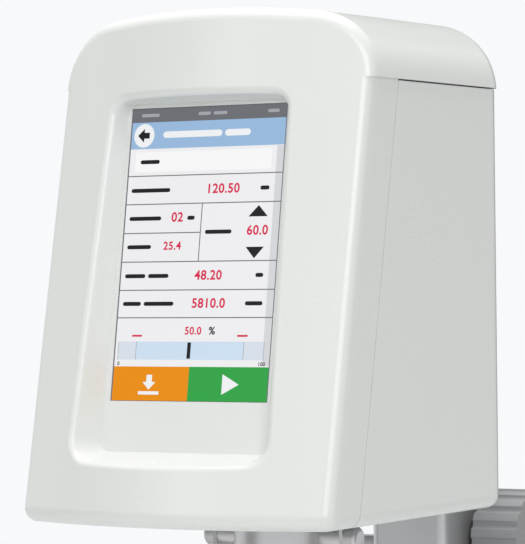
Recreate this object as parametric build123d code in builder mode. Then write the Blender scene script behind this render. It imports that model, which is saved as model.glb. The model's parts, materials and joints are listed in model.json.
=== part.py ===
from build123d import *
import math
import os

# Rotational viscometer on a rack stand. Millimetres, +Z up, front towards -Y.
# The origin is on the bench, under the middle of the base.

# ---------------------------------------------------------------- driving sizes
# Where the main axes stand
SPINDLE_Y = -22.0            # vertical measuring axis
COLUMN_BEHIND = 114.0        # column axis behind the measuring axis
HEAD_BOTTOM = 245.0          # underside of the head above the bench, at rest

# Fits and gaps
RUNNING_GAP = 0.05           # radial, shaft in bush
SLIP_GAP = 0.3               # between pieces that only sit near each other
SCREW_GAP = 0.25             # radial, screw shank in a clearance hole

# Head housing
HEAD_HEIGHT = 186.0
HEAD_HALF_WIDTH = 65.5       # side panels, below the hood
HOOD_OVERHANG = 1.0          # hood stands this proud of the side panels
HOOD_HEIGHT = 27.0
HEAD_WALL = 2.6
FACE_AHEAD = 91.5            # foot of the front face ahead of the measuring axis
HEAD_BACK = 59.0             # back wall behind the measuring axis
FACE_LEAN = 11.6             # degrees
FACE_RADIUS = 167.0          # the front face is gently crowned across its width
TOP_RADIUS = 400.0           # so is the top
FACE_MARGIN = 20.0           # the crowned face is drawn this much wider than the head
SHOULDER_RADIUS = 26.0
FRONT_EDGE_RADIUS = 5.5
BACK_EDGE_RADIUS = 12.0
BOTTOM_EDGE_RADIUS = 5.0
LEAST_RADIUS = 1.0           # on inner corners that would vanish
RIM_HEIGHT = 5.0             # the covers turn in under the head
RIM_INSET = 7.0
SEAM_BEHIND_FACE = 33.0      # from the crown of the face to the joint of the two covers
SEAM_GAP = 0.5
LIP_LENGTH = 4.0
LIP_THICKNESS = 1.2

BOSS_X = 53.0
FRONT_BOSS_AHEAD = -71.0     # from the measuring axis, along Y
REAR_BOSS_BEHIND = 44.0
BOSS_POST_RADIUS = 3.6
BOSS_LENGTH = 16.0
COVER_SCREW_RADIUS = 1.5
COVER_SCREW_LENGTH = 12.0
COVER_SCREW_HEAD_RADIUS = 2.8
COVER_SCREW_HEAD_LENGTH = 2.0

# Screen and its recess
SCREEN_AHEAD = 57.8          # middle of the screen ahead of the measuring axis
SCREEN_ABOVE = 97.5          # middle of the screen above the underside of the head
SCREEN_LEAN = 9.1            # degrees
SCREEN_WIDTH = 66.5
SCREEN_HEIGHT = 108.0
GLASS_THICKNESS = 1.8
GLASS_SET_BACK = 0.3
RECESS_TOP_MARGIN = 1.6
RECESS_APRON = 18.5          # floor left bare below the screen
RECESS_TOP_HALF_WIDTH = 34.4
RECESS_FOOT_HALF_WIDTH = 36.0
RECESS_DRAFT = 22.0          # degrees
RECESS_FOOT_SPREAD = 0.2     # extra draft at the foot, as a share of the draft
RECESS_TOP_DRAFT = 0.15      # draft of the top wall, as a share of the draft
RECESS_CORNER_RADIUS = 4.0
RECESS_MOUTH_RADIUS = 2.4
LCD_MARGIN = 4.0
LCD_THICKNESS = 5.0
GASKET_THICKNESS = 1.0
BEZEL_THICKNESS = 3.0

# Bottom plate and drive frame
PLATE_THICKNESS = 4.0
FRAME_HEIGHT = 56.0          # underside of the upper frame plate above the head's underside
FRAME_PLATE_THICKNESS = 4.0
FRAME_LEFT = 60.0
FRAME_RIGHT = 40.0
FRAME_HALF_DEPTH = 34.0
PILLAR_RADIUS = 4.0
PILLAR_INSET = 6.0

# Drive train
GEAR_MODULE = 1.25
DRIVE_TEETH = 48
MOTOR_TEETH = 16
GEAR_THICKNESS = 6.0
GEAR_ABOVE_PLATE = 4.0
GEAR_BACKLASH = 0.25
PRESSURE_ANGLE = 20.0
MOTOR_RADIUS = 18.0
MOTOR_LENGTH = 34.0
MOTOR_EDGE_RADIUS = 1.5
MOTOR_SHAFT_RADIUS = 2.5
SLEEVE_RADIUS = 5.0
SLEEVE_BOTTOM = 33.0         # above the head's underside
BEARING_RADIUS = 9.5
DISC_RADIUS = 18.0
DISC_THICKNESS = 1.0
UPPER_DISC_HEIGHT = 36.0
LOWER_DISC_HEIGHT = 22.0
DISC_SLOTS = 24
SLOT_INSET = 2.5             # slot middles inside the rim
SLOT_LENGTH = 2.5
SLOT_WIDTH = 1.2
SENSOR_OUTSIDE = 4.0         # middle of the sensor post outside the rim
SENSOR_WIDTH = 6.0
SENSOR_DEPTH = 4.0
SENSOR_REACH = 3.0           # arms reach inside the rim
SENSOR_ARM_THICKNESS = 3.0   # above and below the disc
SENSOR_HEADROOM = 1.0        # between a disc and the arms around it
SENSOR_RIM_GAP = 1.5         # mouth outside the rim
SENSOR_TOP = 5.0             # post above the upper disc
SPRING_HEIGHT = 28.0
SPRING_STRIP = 3.0
SPRING_THICKNESS = 0.6
SPRING_TURNS = 4
SPRING_POST_CLEARANCE = 1.0  # between the spring's post and the sensor arms
SPRING_INNER = 4.6
SPRING_POST_RADIUS = 1.2
SPRING_OUTER = (DISC_RADIUS - SENSOR_REACH - SPRING_POST_CLEARANCE - 2 * SPRING_POST_RADIUS
                - SPRING_THICKNESS)
HUB_WALL = 2.0
HUB_LENGTH = 4.0

# Pivot, cup, spindle and guard
PIVOT_RADIUS = 2.0
PIVOT_TOP = 50.0
PIVOT_DROP = 30.0            # stub below the head's underside
CUP_RADIUS = 18.5
CUP_DEPTH = 16.0
CUP_WALL = 2.5
CUP_CHAMFER = 3.0
CUP_FLOOR_EXTRA = 2.0        # floor thicker than the wall
JEWEL_RADIUS = 4.5
JEWEL_THICKNESS = 4.0
COUPLING_RADIUS = 4.5
COUPLING_LENGTH = 16.0
COUPLING_GROOVES = 12
COUPLING_GROOVE_RADIUS = 0.5
SPINDLE_SHAFT_RADIUS = 1.6
SPINDLE_STEM = 46.0
SPINDLE_BOB_RADIUS = 9.4
SPINDLE_BOB_LENGTH = 65.0
SPINDLE_TIP = 2.5
GUARD_HALF_WIDTH = 27.4      # to the middle of each strip
GUARD_STRIP = 9.0
GUARD_THICKNESS = 1.5
GUARD_BELOW_BOB = 12.0
GUARD_BEND = 14.0
GUARD_SCREW_BELOW = 9.0
GUARD_SCREW_RADIUS = 2.0
GUARD_SCREW_HEAD_RADIUS = 4.6
GUARD_SCREW_HEAD_LENGTH = 5.0
STANDOFF_RADIUS = 4.2

# Column, rack and pinion
COLUMN_RADIUS = 11.0
RACK_MODULE = 1.0
PINION_TEETH = 16
RACK_WIDTH = 8.0
RACK_DEPTH = 6.0             # from its back to the pitch line
RACK_BACKLASH = 0.3
RACK_SCREW_INSET = 15.0      # outer rack screws, from the rack's ends
PINION_WIDTH = 7.0
PINION_SHAFT_RADIUS = 4.0
BUSH_WALL = 2.0
BUSH_FLANGE = 2.0
CAP_HEIGHT = 5.0
CAP_OVERHANG = 2.0
CAP_EDGE_RADIUS = 2.0
PINION_BELOW = 19.0          # pinion axis below the head's underside
LIFT_DOWN = 60.0
LIFT_UP = 90.0

# Carriage and support arm
CARRIAGE_HALF_WIDTH = 17.0
CARRIAGE_FRONT = 16.0        # ahead of the column axis
CARRIAGE_BACK = 31.0         # behind the column axis
CARRIAGE_BELOW = 54.0        # below the head's underside
CARRIAGE_ABOVE = 40.0
CARRIAGE_CORNER = 4.0
GUIDE_LENGTH = 14.0
GUIDE_WALL = 3.0
ARM_HALF_WIDTH = 12.0
ARM_BOTTOM = 10.0            # above the head's underside
ARM_HEIGHT = 22.0
FLANGE_THICKNESS = 6.0
FLANGE_MARGIN = 8.0          # flanges stand out above and below the arm
ARM_CORNER_RADIUS = 4.0
HEAD_FLANGE_HALF_WIDTH = 28.0
ARM_SCREW_X = 21.0
CARRIAGE_SCREW_X = 12.0
CARRIAGE_SCREW_DEPTH = 5.0   # threaded length in the carriage
ARM_SCREW_INSET = 6.0
ARM_SCREW_RADIUS = 2.0
ARM_SCREW_HEAD_RADIUS = 3.5
ARM_SCREW_HEAD_LENGTH = 3.5
BRACKET_THICKNESS = 3.0

# Knobs
KNOB_RADIUS = 20.0
KNOB_START = 22.0
KNOB_LENGTH = 20.0
KNOB_FLUTES = 18
KNOB_FLUTE_RADIUS = 2.0
KNOB_FLUTE_OUT = 0.8         # flute middles outside the rim
KNOB_END_WALL = 4.0
CLAMP_RADIUS = 12.0
CLAMP_LENGTH = 12.0
CLAMP_LOBES = 6
CLAMP_HOLLOW_RADIUS = 4.0
CLAMP_HOLLOW_OUT = 2.0       # hollow middles outside the rim
CLAMP_BELOW = 30.0
CLAMP_STUD_RADIUS = 3.0

# Base and feet
BASE_HALF_WIDTH = 92.0
BASE_FRONT = -132.0
BASE_REAR = 132.0
BASE_BOTTOM = 20.0
BASE_THICKNESS = 20.0
LEG_WIDTH = 29.0
LEG_END_RADIUS = 12.2
LEG_ROOT_RADIUS = 26.1
BASE_SHOULDER_RADIUS = 29.0
BASE_REAR_RADIUS = 14.5
BRIDGE_FRONT = 40.0
REAR_HALF_WIDTH = 30.0
SHOULDER_Y = 78.0
BASE_EDGE_RADIUS = 4.0
BOSS_RADIUS = 21.0
BOSS_HEIGHT = 12.0
BOSS_TAPER = 6.0             # degrees
BOSS_EDGE_RADIUS = 1.5
FOOT_INSET = 15.0
FOOT_PAD_RADIUS = 11.0
FOOT_PAD_HEIGHT = 4.0
FOOT_DISC_RADIUS = 12.5
FOOT_DISC_HEIGHT = 6.0
FOOT_DISC_NOTCHES = 16
FOOT_NOTCH_RADIUS = 1.4
FOOT_NOTCH_OUT = 0.6         # notch middles outside the rim
FOOT_NECK_HEIGHT = 3.0
FOOT_NECK_TAPER = 20.0       # degrees
FOOT_NECK_INSET = 2.0
FOOT_STEM_RADIUS = 4.0
FOOT_STEM_TOP = 31.0
FOOT_TRAVEL = 4.0
COLUMN_BOLT_RADIUS = 4.0
COLUMN_BOLT_LENGTH = 24.0    # into the column
CAP_SPIGOT_RADIUS = 2.5
LEVEL_RADIUS = 10.0
LEVEL_HEIGHT = 6.0
LEVEL_PROUD = 1.5            # ring above the base
LEVEL_WALL = 2.5
LEVEL_CHAMFER = 0.6
VIAL_SUNK = 0.5
LEVEL_Y = 55.0

# Back panel fittings
INLET_BODY_WIDTH = 27.0
INLET_BODY_HEIGHT = 20.0
INLET_DEPTH = 20.0
INLET_CAVITY_DEPTH = 15.0
INLET_SIDE_WALL = 1.5
INLET_END_WALL = 2.0
INLET_CHAMFER = 4.0          # on two corners of the mouth
INLET_CORNER_RADIUS = 3.0
INLET_EDGE_RADIUS = 0.6
INLET_EAR = 4.0              # flange beyond the body, each side
PIN_WIDTH = 2.0
PIN_HEIGHT = 4.0
PIN_SHORT = 6.0              # pin ends inside the mouth
PIN_SPOTS = [(0.0, 3.0), (-7.0, -2.0), (7.0, -2.0)]
FITTING_FLANGE = 2.0
SWITCH_WIDTH = 13.0
SWITCH_HEIGHT = 19.0
SWITCH_DEPTH = 14.0
SWITCH_WALL = 1.0
FITTING_CORNER_RADIUS = 1.5
ROCKER_RISE = 2.6            # its high ends above its pivot
ROCKER_DIP = 1.2             # its hollow middle above its pivot
ROCKER_DEPTH = 3.0
ROCKER_TILT = 8.0            # degrees either side of level
DATA_WIDTH = 18.0
DATA_HEIGHT = 10.0
DATA_EAR = 6.0               # flange beyond the body, each side
DATA_SHELL_LENGTH = 5.0
DATA_SHELL_GAP = 1.0         # shell inside the body's outline
DATA_SHELL_ANGLE = 80.0      # degrees
DATA_NUT_RADIUS = 2.6
DATA_NUT_HEIGHT = 4.0
DATA_NUT_SPACING = 25.0
CONTACT_RADIUS = 0.6
CONTACT_DEPTH = 4.0
CONTACT_PITCH = 2.8
CONTACT_ROW = 1.4            # from the middle to each row
PROBE_RADIUS = 6.0
PROBE_FLANGE = 3.0
PROBE_CHAMFER = 0.8
PROBE_CONTACT_CIRCLE = 3.0   # radius that its four contacts stand on
BOARD_WIDTH = 90.0
BOARD_THICKNESS = 1.6
BOARD_BELOW_TOP = 32.0       # its upper edge below the top of the head
BOARD_ABOVE_SWITCH = 6.5     # its lower edge above the switch
BOARD_STANDOFF = 8.0
BOARD_POST_RADIUS = 3.0
BOARD_POST_INSET = 4.0
CHIP_HEIGHT = 2.5
CHIP_SIZE = 18.0
CHIP_X = -18.0
CHIP_DROP = 13.0             # its middle below the board's upper edge
REGULATOR_WIDTH = 12.0
REGULATOR_HEIGHT = 10.0
REGULATOR_X = 18.0
REGULATOR_DROP = 7.0
HEADER_WIDTH = 50.0
HEADER_HEIGHT = 7.0
HEADER_RISE = 6.0            # its middle above the board's lower edge
# their middles: right of the middle and above the underside of the head
INLET_X, INLET_Z = -36.0, 66.0
SWITCH_X, SWITCH_Z = -36.0, 96.0
DATA_X, DATA_Z = 12.0, 66.0
PROBE_X, PROBE_Z = 42.0, 66.0

# ---------------------------------------------------------------- worked out from them
COLUMN_Y = SPINDLE_Y + COLUMN_BEHIND
HEAD_TOP = HEAD_BOTTOM + HEAD_HEIGHT
STEP_Z = HEAD_TOP - HOOD_HEIGHT
BOARD_BOTTOM = SWITCH_Z + SWITCH_HEIGHT / 2 + BOARD_ABOVE_SWITCH
BOARD_HEIGHT = HEAD_HEIGHT - BOARD_BELOW_TOP - BOARD_BOTTOM
BACK_Y = SPINDLE_Y + HEAD_BACK
PINION_RADIUS = RACK_MODULE * PINION_TEETH / 2
PITCH_LINE_Y = COLUMN_Y + COLUMN_RADIUS - 2 * RACK_MODULE
PINION_Y = PITCH_LINE_Y + PINION_RADIUS
PINION_Z = HEAD_BOTTOM - PINION_BELOW
GEAR_DISTANCE = GEAR_MODULE * (DRIVE_TEETH + MOTOR_TEETH) / 2
MOTOR_X = -GEAR_DISTANCE
FRAME_TOP = HEAD_BOTTOM + FRAME_HEIGHT + FRAME_PLATE_THICKNESS
GEAR_Z = FRAME_TOP + GEAR_ABOVE_PLATE
GUARD_Z = HEAD_BOTTOM - GUARD_SCREW_BELOW
COUPLING_TOP = HEAD_BOTTOM - PIVOT_DROP + COUPLING_LENGTH / 2 - 2
BOB_TOP = COUPLING_TOP - COUPLING_LENGTH - SPINDLE_STEM
BOB_BOTTOM = BOB_TOP - SPINDLE_BOB_LENGTH
GUARD_BOTTOM = BOB_BOTTOM - SPINDLE_TIP - GUARD_BELOW_BOB
BASE_TOP = BASE_BOTTOM + BASE_THICKNESS
LEG_X = BASE_HALF_WIDTH - LEG_WIDTH / 2
CARRIAGE_FRONT_Y = COLUMN_Y - CARRIAGE_FRONT
FEET = {
    "front_left": (-LEG_X, BASE_FRONT + FOOT_INSET),
    "front_right": (LEG_X, BASE_FRONT + FOOT_INSET),
    "rear": (0.0, BASE_REAR - FOOT_INSET),
}

COLUMN_TOP = HEAD_BOTTOM + CARRIAGE_ABOVE + LIFT_UP + 3
RACK_PITCH = math.pi * RACK_MODULE
TEETH_BELOW = math.ceil((LIFT_DOWN + 2 * PINION_RADIUS) / RACK_PITCH)
TEETH_ABOVE = math.ceil((LIFT_UP + 2 * PINION_RADIUS) / RACK_PITCH)
RACK_BOTTOM = PINION_Z - (TEETH_BELOW + 0.5) * RACK_PITCH
RACK_TOP = PINION_Z + (TEETH_ABOVE + 0.5) * RACK_PITCH
RACK_BACK_Y = PITCH_LINE_Y - RACK_DEPTH
RACK_SCREW_SPOTS = [
    (0, RACK_BOTTOM + RACK_SCREW_INSET),
    (0, (RACK_BOTTOM + RACK_TOP) / 2),
    (0, RACK_TOP - RACK_SCREW_INSET),
]
ARM_TOP = ARM_BOTTOM + ARM_HEIGHT
FLANGE_BOTTOM = ARM_BOTTOM - FLANGE_MARGIN
FLANGE_TOP = ARM_TOP + FLANGE_MARGIN
HEAD_SCREW_HEIGHTS = (RIM_HEIGHT + ARM_SCREW_INSET, FLANGE_TOP - ARM_SCREW_INSET)
CARRIAGE_SCREW_HEIGHTS = (ARM_BOTTOM - FLANGE_MARGIN / 2, ARM_TOP + FLANGE_MARGIN / 2)
ARM_SPOTS = [(x, z) for x in (-ARM_SCREW_X, ARM_SCREW_X) for z in HEAD_SCREW_HEIGHTS]
CARRIAGE_SPOTS = [
    (x, z) for x in (-CARRIAGE_SCREW_X, CARRIAGE_SCREW_X) for z in CARRIAGE_SCREW_HEIGHTS
]
COVER_SCREW_SPOTS = [
    (side * BOSS_X, along) for side in (-1, 1) for along in (FRONT_BOSS_AHEAD, REAR_BOSS_BEHIND)
]
CHAMBER_RADIUS = PINION_RADIUS + 2 * RACK_MODULE
CHAMBER_HALF = PINION_WIDTH / 2 + 1

FACE_PLANE = Plane(
    origin=(0, SPINDLE_Y - FACE_AHEAD, HEAD_BOTTOM),
    x_dir=(1, 0, 0),
    z_dir=(0, math.sin(math.radians(FACE_LEAN)), math.cos(math.radians(FACE_LEAN))),
)
SCREEN_PLANE = Plane(
    origin=(0, SPINDLE_Y - SCREEN_AHEAD, HEAD_BOTTOM + SCREEN_ABOVE),
    x_dir=(1, 0, 0),
    z_dir=(0, -math.cos(math.radians(SCREEN_LEAN)), math.sin(math.radians(SCREEN_LEAN))),
)
STEP_PLANE = Plane.XY.offset(STEP_Z)
SEAM_PLANE = Plane(
    origin=(0, SPINDLE_Y - FACE_AHEAD + SEAM_BEHIND_FACE, HEAD_BOTTOM),
    x_dir=(1, 0, 0),
    z_dir=(0, math.cos(math.radians(FACE_LEAN)), -math.sin(math.radians(FACE_LEAN))),
)
FAR = 400.0                  # longer than any piece, for cutting tools
RECESS_REACH = 30.0          # how far the recess tools stand out in front of the screen


def flat(z):
    """Horizontal plane at a height, with its origin on the measuring axis."""
    return Plane(origin=(0, SPINDLE_Y, z), x_dir=(1, 0, 0), z_dir=(0, 0, 1))


def facing_front(y, x=0.0, z=0.0):
    """Upright plane at a depth, looking towards the front of the instrument."""
    return Plane(origin=(x, y, z), x_dir=(1, 0, 0), z_dir=(0, -1, 0))


def facing_back(y, x=0.0, z=0.0):
    """Upright plane at a depth, looking towards the back of the instrument."""
    return Plane(origin=(x, y, z), x_dir=(-1, 0, 0), z_dir=(0, 1, 0))


def facing_right(x, y=0.0, z=0.0):
    """Upright plane looking to the right, for what lies along X."""
    return Plane(origin=(x, y, z), x_dir=(0, 1, 0), z_dir=(1, 0, 0))


def facing_left(x, y=0.0, z=0.0):
    """Upright plane looking to the left."""
    return Plane(origin=(x, y, z), x_dir=(0, -1, 0), z_dir=(-1, 0, 0))


def save(piece, label):
    """Label a finished piece and write its STEP file."""
    piece.part.label = label
    export_step(piece.part, f"parts/{label}.step")


def gear_points(module, teeth, backlash):
    """Corner points of an involute spur gear with a tooth centred on +X."""
    pitch = module * teeth / 2
    base = pitch * math.cos(math.radians(PRESSURE_ANGLE))
    tip = pitch + module
    root = pitch - 1.25 * module
    slope = math.radians(PRESSURE_ANGLE)
    half = math.pi / (2 * teeth) - backlash / (2 * pitch) + math.tan(slope) - slope
    start = max(base, root)
    flank = []
    for radius in (start, (start + pitch) / 2, (pitch + tip) / 2, tip):
        turn = math.acos(base / radius)
        flank.append((radius, half - (math.tan(turn) - turn)))
    points = []
    for tooth in range(teeth):
        middle = 2 * math.pi * tooth / teeth
        side = [(root, flank[0][1])] + flank
        for radius, offset in side:
            points.append((radius * math.cos(middle - offset), radius * math.sin(middle - offset)))
        for radius, offset in reversed(side):
            points.append((radius * math.cos(middle + offset), radius * math.sin(middle + offset)))
    return points


def screw(plane, spots, head_radius, head_length, shank_radius, shank_length):
    """Pan-head screws: heads stand on the plane, shanks go into it."""
    with BuildPart() as screws:
        with BuildSketch(plane):
            with Locations(*spots):
                Circle(head_radius)
        extrude(amount=head_length)
        tops = screws.faces().sort_by(Axis(plane.origin, plane.z_dir))[-len(spots):]
        fillet(tops.edges(), head_length * 0.4)
        with BuildSketch(plane):
            with Locations(*spots):
                Circle(shank_radius)
        extrude(amount=-shank_length)
    return screws


# ---------------------------------------------------------------- head housing
def head_form(half_width, skin, floor):
    """The head as one block, with its faces drawn inwards by the skin.

    The front view is drawn first and run from back to front, then the leaning, crowned
    face trims it, and the vertical and lower edges are rounded.
    """
    top = HEAD_TOP - skin
    drop = half_width**2 / (2 * TOP_RADIUS)
    crown = FACE_RADIUS - skin
    span = HEAD_HALF_WIDTH + FACE_MARGIN
    sag = crown - math.sqrt(crown**2 - span**2)
    with BuildPart() as form:
        with BuildSketch(facing_front(BACK_Y - skin)):
            with BuildLine():
                Line((-half_width, floor), (half_width, floor))
                Line((half_width, floor), (half_width, top - drop))
                ThreePointArc((half_width, top - drop), (0, top), (-half_width, top - drop))
                Line((-half_width, top - drop), (-half_width, floor))
            face = make_face()
            fillet(face.vertices().group_by(Axis.Y)[-1], SHOULDER_RADIUS - skin)
        extrude(amount=FAR / 2)
        with BuildSketch(FACE_PLANE):
            with BuildLine():
                ThreePointArc((-span, skin + sag), (0, skin), (span, skin + sag))
                Polyline((span, skin + sag), (span, FAR), (-span, FAR), (-span, skin + sag))
            make_face()
        extrude(amount=FAR, both=True, mode=Mode.INTERSECT)
        back = form.faces().sort_by(Axis.Y)[-1]
        back_radius = max(BACK_EDGE_RADIUS - skin, LEAST_RADIUS)
        fillet(back.edges().filter_by(lambda e: e.center().Z > floor + 1), back_radius)
        front = form.faces().sort_by(Axis.Y)[0]
        front_radius = max(FRONT_EDGE_RADIUS - skin, LEAST_RADIUS)
        fillet(front.edges().filter_by(lambda e: e.center().Z > floor + 1), front_radius)
    return form.part


def recess_outline(grow, spread, top_grow):
    """Trapezoid of the screen recess, wider at its foot, on the screen's plane."""
    top = SCREEN_HEIGHT / 2 + RECESS_TOP_MARGIN
    foot = SCREEN_HEIGHT / 2 + RECESS_APRON
    return [
        (-RECESS_FOOT_HALF_WIDTH - grow - spread, -foot - grow),
        (RECESS_FOOT_HALF_WIDTH + grow + spread, -foot - grow),
        (RECESS_TOP_HALF_WIDTH + grow, top + top_grow),
        (-RECESS_TOP_HALF_WIDTH - grow, top + top_grow),
    ]


def recess_block(shell, back, front):
    """Drafted block that fills the recess, enlarged by a shell all round."""
    reach = front - back
    widen = reach * math.tan(math.radians(RECESS_DRAFT))
    with BuildPart() as block:
        with BuildSketch(SCREEN_PLANE.offset(back)) as low:
            Polygon(*recess_outline(shell, 0, shell), align=None)
            fillet(low.vertices(), RECESS_CORNER_RADIUS + shell)
        with BuildSketch(SCREEN_PLANE.offset(front)) as high:
            Polygon(*recess_outline(shell + widen, widen * RECESS_FOOT_SPREAD,
                                    shell + widen * RECESS_TOP_DRAFT), align=None)
            fillet(high.vertices(), RECESS_CORNER_RADIUS + shell + widen)
        loft()
    return block.part


def screw_bosses(behind):
    """Pair of hollow bosses above the bottom plate, each webbed to its side wall."""
    with BuildPart() as bosses:
        for side in (-1, 1):
            with BuildSketch(flat(HEAD_BOTTOM + PLATE_THICKNESS)):
                with Locations((side * BOSS_X, behind)):
                    Circle(BOSS_POST_RADIUS)
                with Locations((side * (BOSS_X + HEAD_HALF_WIDTH - HEAD_WALL / 2) / 2, behind)):
                    Rectangle(HEAD_HALF_WIDTH - HEAD_WALL / 2 - BOSS_X, BOSS_POST_RADIUS)
            extrude(amount=BOSS_LENGTH)
            with BuildSketch(flat(HEAD_BOTTOM + PLATE_THICKNESS)):
                with Locations((side * BOSS_X, behind)):
                    Circle(COVER_SCREW_RADIUS)
            extrude(amount=COVER_SCREW_LENGTH, mode=Mode.SUBTRACT)
    return bosses


os.makedirs("parts", exist_ok=True)
cavity = head_form(HEAD_HALF_WIDTH - HEAD_WALL, HEAD_WALL, HEAD_BOTTOM + RIM_HEIGHT)
mouth = head_form(HEAD_HALF_WIDTH - RIM_INSET, RIM_INSET, HEAD_BOTTOM - RIM_HEIGHT)
panel_form = head_form(HEAD_HALF_WIDTH, 0, HEAD_BOTTOM)
with BuildPart() as lower_form:
    add(panel_form)
    split(bisect_by=STEP_PLANE, keep=Keep.BOTTOM)
    rim = lower_form.faces().sort_by(Axis.Z)[0]
    fillet(rim.edges(), BOTTOM_EDGE_RADIUS)
with BuildPart() as hood_form:
    add(head_form(HEAD_HALF_WIDTH + HOOD_OVERHANG, 0, HEAD_BOTTOM))
    split(bisect_by=STEP_PLANE, keep=Keep.TOP)
with BuildPart() as hollow:
    add(mouth)
    split(bisect_by=flat(HEAD_BOTTOM + 2 * RIM_HEIGHT), keep=Keep.BOTTOM)
    add(cavity)
with BuildPart() as tub:
    add(recess_block(HEAD_WALL, -HEAD_WALL, RECESS_REACH))
    add(panel_form, mode=Mode.INTERSECT)

with BuildPart() as front_cover:
    add(lower_form.part)
    split(bisect_by=SEAM_PLANE.offset(-SEAM_GAP / 2), keep=Keep.BOTTOM)
    add(hood_form.part)
    add(hollow.part, mode=Mode.SUBTRACT)
    add(tub.part)
    add(recess_block(0, 0, RECESS_REACH), mode=Mode.SUBTRACT)
    crowned_face = front_cover.faces().sort_by(SortBy.AREA)[-2:].sort_by(Axis.Y)[0]
    fillet(crowned_face.inner_wires()[0].edges(), RECESS_MOUTH_RADIUS)
    with BuildSketch(SCREEN_PLANE):
        Rectangle(SCREEN_WIDTH, SCREEN_HEIGHT)
    extrude(amount=-2 * HEAD_WALL, mode=Mode.SUBTRACT)
    add(screw_bosses(FRONT_BOSS_AHEAD).part)
save(front_cover, "front_cover")

with BuildPart() as rear_cover:
    add(lower_form.part)
    split(bisect_by=SEAM_PLANE.offset(SEAM_GAP / 2), keep=Keep.TOP)
    split(bisect_by=STEP_PLANE.offset(-SEAM_GAP), keep=Keep.BOTTOM)
    add(hollow.part, mode=Mode.SUBTRACT)
    # lips that reach inside the front cover's sides
    for side in (-1, 1):
        for reach, inner_gap in ((LIP_LENGTH, 0.0), (-LIP_LENGTH, SLIP_GAP / 2)):
            outer = HEAD_HALF_WIDTH - HEAD_WALL - inner_gap
            lean = math.tan(math.radians(FACE_LEAN))
            low, high = RIM_HEIGHT + LIP_LENGTH, STEP_Z - HEAD_BOTTOM - LIP_LENGTH
            start = SEAM_BEHIND_FACE - FACE_AHEAD
            with BuildSketch(facing_right(side * (outer - LIP_THICKNESS / 2), SPINDLE_Y, HEAD_BOTTOM)):
                Polygon(
                    (start + low * lean, low),
                    (start + low * lean + reach, low),
                    (start + high * lean + reach, high),
                    (start + high * lean, high),
                    align=None,
                )
            extrude(amount=LIP_THICKNESS / 2, both=True)
    add(screw_bosses(REAR_BOSS_BEHIND).part)
    # openings for what is fitted to the back panel
    with BuildSketch(facing_back(BACK_Y, z=HEAD_BOTTOM)):
        with Locations((-INLET_X, INLET_Z)):
            Rectangle(INLET_BODY_WIDTH + SLIP_GAP, INLET_BODY_HEIGHT + SLIP_GAP)
        with Locations((-SWITCH_X, SWITCH_Z)):
            Rectangle(SWITCH_WIDTH + SLIP_GAP, SWITCH_HEIGHT + SLIP_GAP)
        with Locations((-DATA_X, DATA_Z)):
            Rectangle(DATA_WIDTH + SLIP_GAP, DATA_HEIGHT + SLIP_GAP)
        with Locations((-PROBE_X, PROBE_Z)):
            Circle(PROBE_RADIUS + SLIP_GAP / 2)
        with Locations(*ARM_SPOTS):
            Circle(ARM_SCREW_RADIUS + SCREW_GAP)
    extrude(amount=-RIM_INSET, mode=Mode.SUBTRACT)
save(rear_cover, "rear_cover")

with BuildPart() as bottom_plate:
    add(head_form(HEAD_HALF_WIDTH - RIM_INSET - SLIP_GAP, RIM_INSET + SLIP_GAP, HEAD_BOTTOM))
    split(bisect_by=flat(HEAD_BOTTOM + PLATE_THICKNESS), keep=Keep.BOTTOM)
    with BuildSketch(flat(HEAD_BOTTOM)):
        Circle(PIVOT_RADIUS + 1)
        with Locations(*COVER_SCREW_SPOTS):
            Circle(COVER_SCREW_RADIUS + SCREW_GAP)
    extrude(amount=PLATE_THICKNESS, mode=Mode.SUBTRACT)
    with BuildSketch(flat(HEAD_BOTTOM)):
        with Locations(*COVER_SCREW_SPOTS):
            Circle(COVER_SCREW_HEAD_RADIUS + SCREW_GAP)
    extrude(amount=COVER_SCREW_HEAD_LENGTH, mode=Mode.SUBTRACT)
save(bottom_plate, "bottom_plate")

with BuildPart() as cover_screws:
    with BuildSketch(flat(HEAD_BOTTOM)):
        with Locations(*COVER_SCREW_SPOTS):
            Circle(COVER_SCREW_HEAD_RADIUS)
    extrude(amount=COVER_SCREW_HEAD_LENGTH)
    with BuildSketch(flat(HEAD_BOTTOM)):
        with Locations(*COVER_SCREW_SPOTS):
            Circle(COVER_SCREW_RADIUS - RUNNING_GAP)
    extrude(amount=PLATE_THICKNESS + COVER_SCREW_LENGTH - 1)
save(cover_screws, "cover_screws")

# ---------------------------------------------------------------- screen
with BuildPart() as touch_glass:
    with BuildSketch(SCREEN_PLANE.offset(-GLASS_SET_BACK)) as pane:
        Rectangle(SCREEN_WIDTH - SLIP_GAP, SCREEN_HEIGHT - SLIP_GAP)
    extrude(amount=-GLASS_THICKNESS)
    chamfer(touch_glass.faces().sort_by(Axis(SCREEN_PLANE.origin, SCREEN_PLANE.z_dir))[-1].edges(), 0.2)
save(touch_glass, "touch_glass")

with BuildPart() as screen_gasket:
    with BuildSketch(SCREEN_PLANE.offset(-HEAD_WALL)):
        Rectangle(SCREEN_WIDTH + 2 * LCD_MARGIN, SCREEN_HEIGHT + 2 * LCD_MARGIN)
        Rectangle(SCREEN_WIDTH - 2 * GASKET_THICKNESS, SCREEN_HEIGHT - 2 * GASKET_THICKNESS,
                  mode=Mode.SUBTRACT)
    extrude(amount=-GASKET_THICKNESS)
save(screen_gasket, "screen_gasket")

lcd_back = HEAD_WALL + GASKET_THICKNESS + LCD_THICKNESS
with BuildPart() as lcd_module:
    with BuildSketch(SCREEN_PLANE.offset(-HEAD_WALL - GASKET_THICKNESS)):
        RectangleRounded(SCREEN_WIDTH + 2 * LCD_MARGIN, SCREEN_HEIGHT + 2 * LCD_MARGIN, 1.5)
    extrude(amount=-LCD_THICKNESS)
save(lcd_module, "lcd_module")

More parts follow.
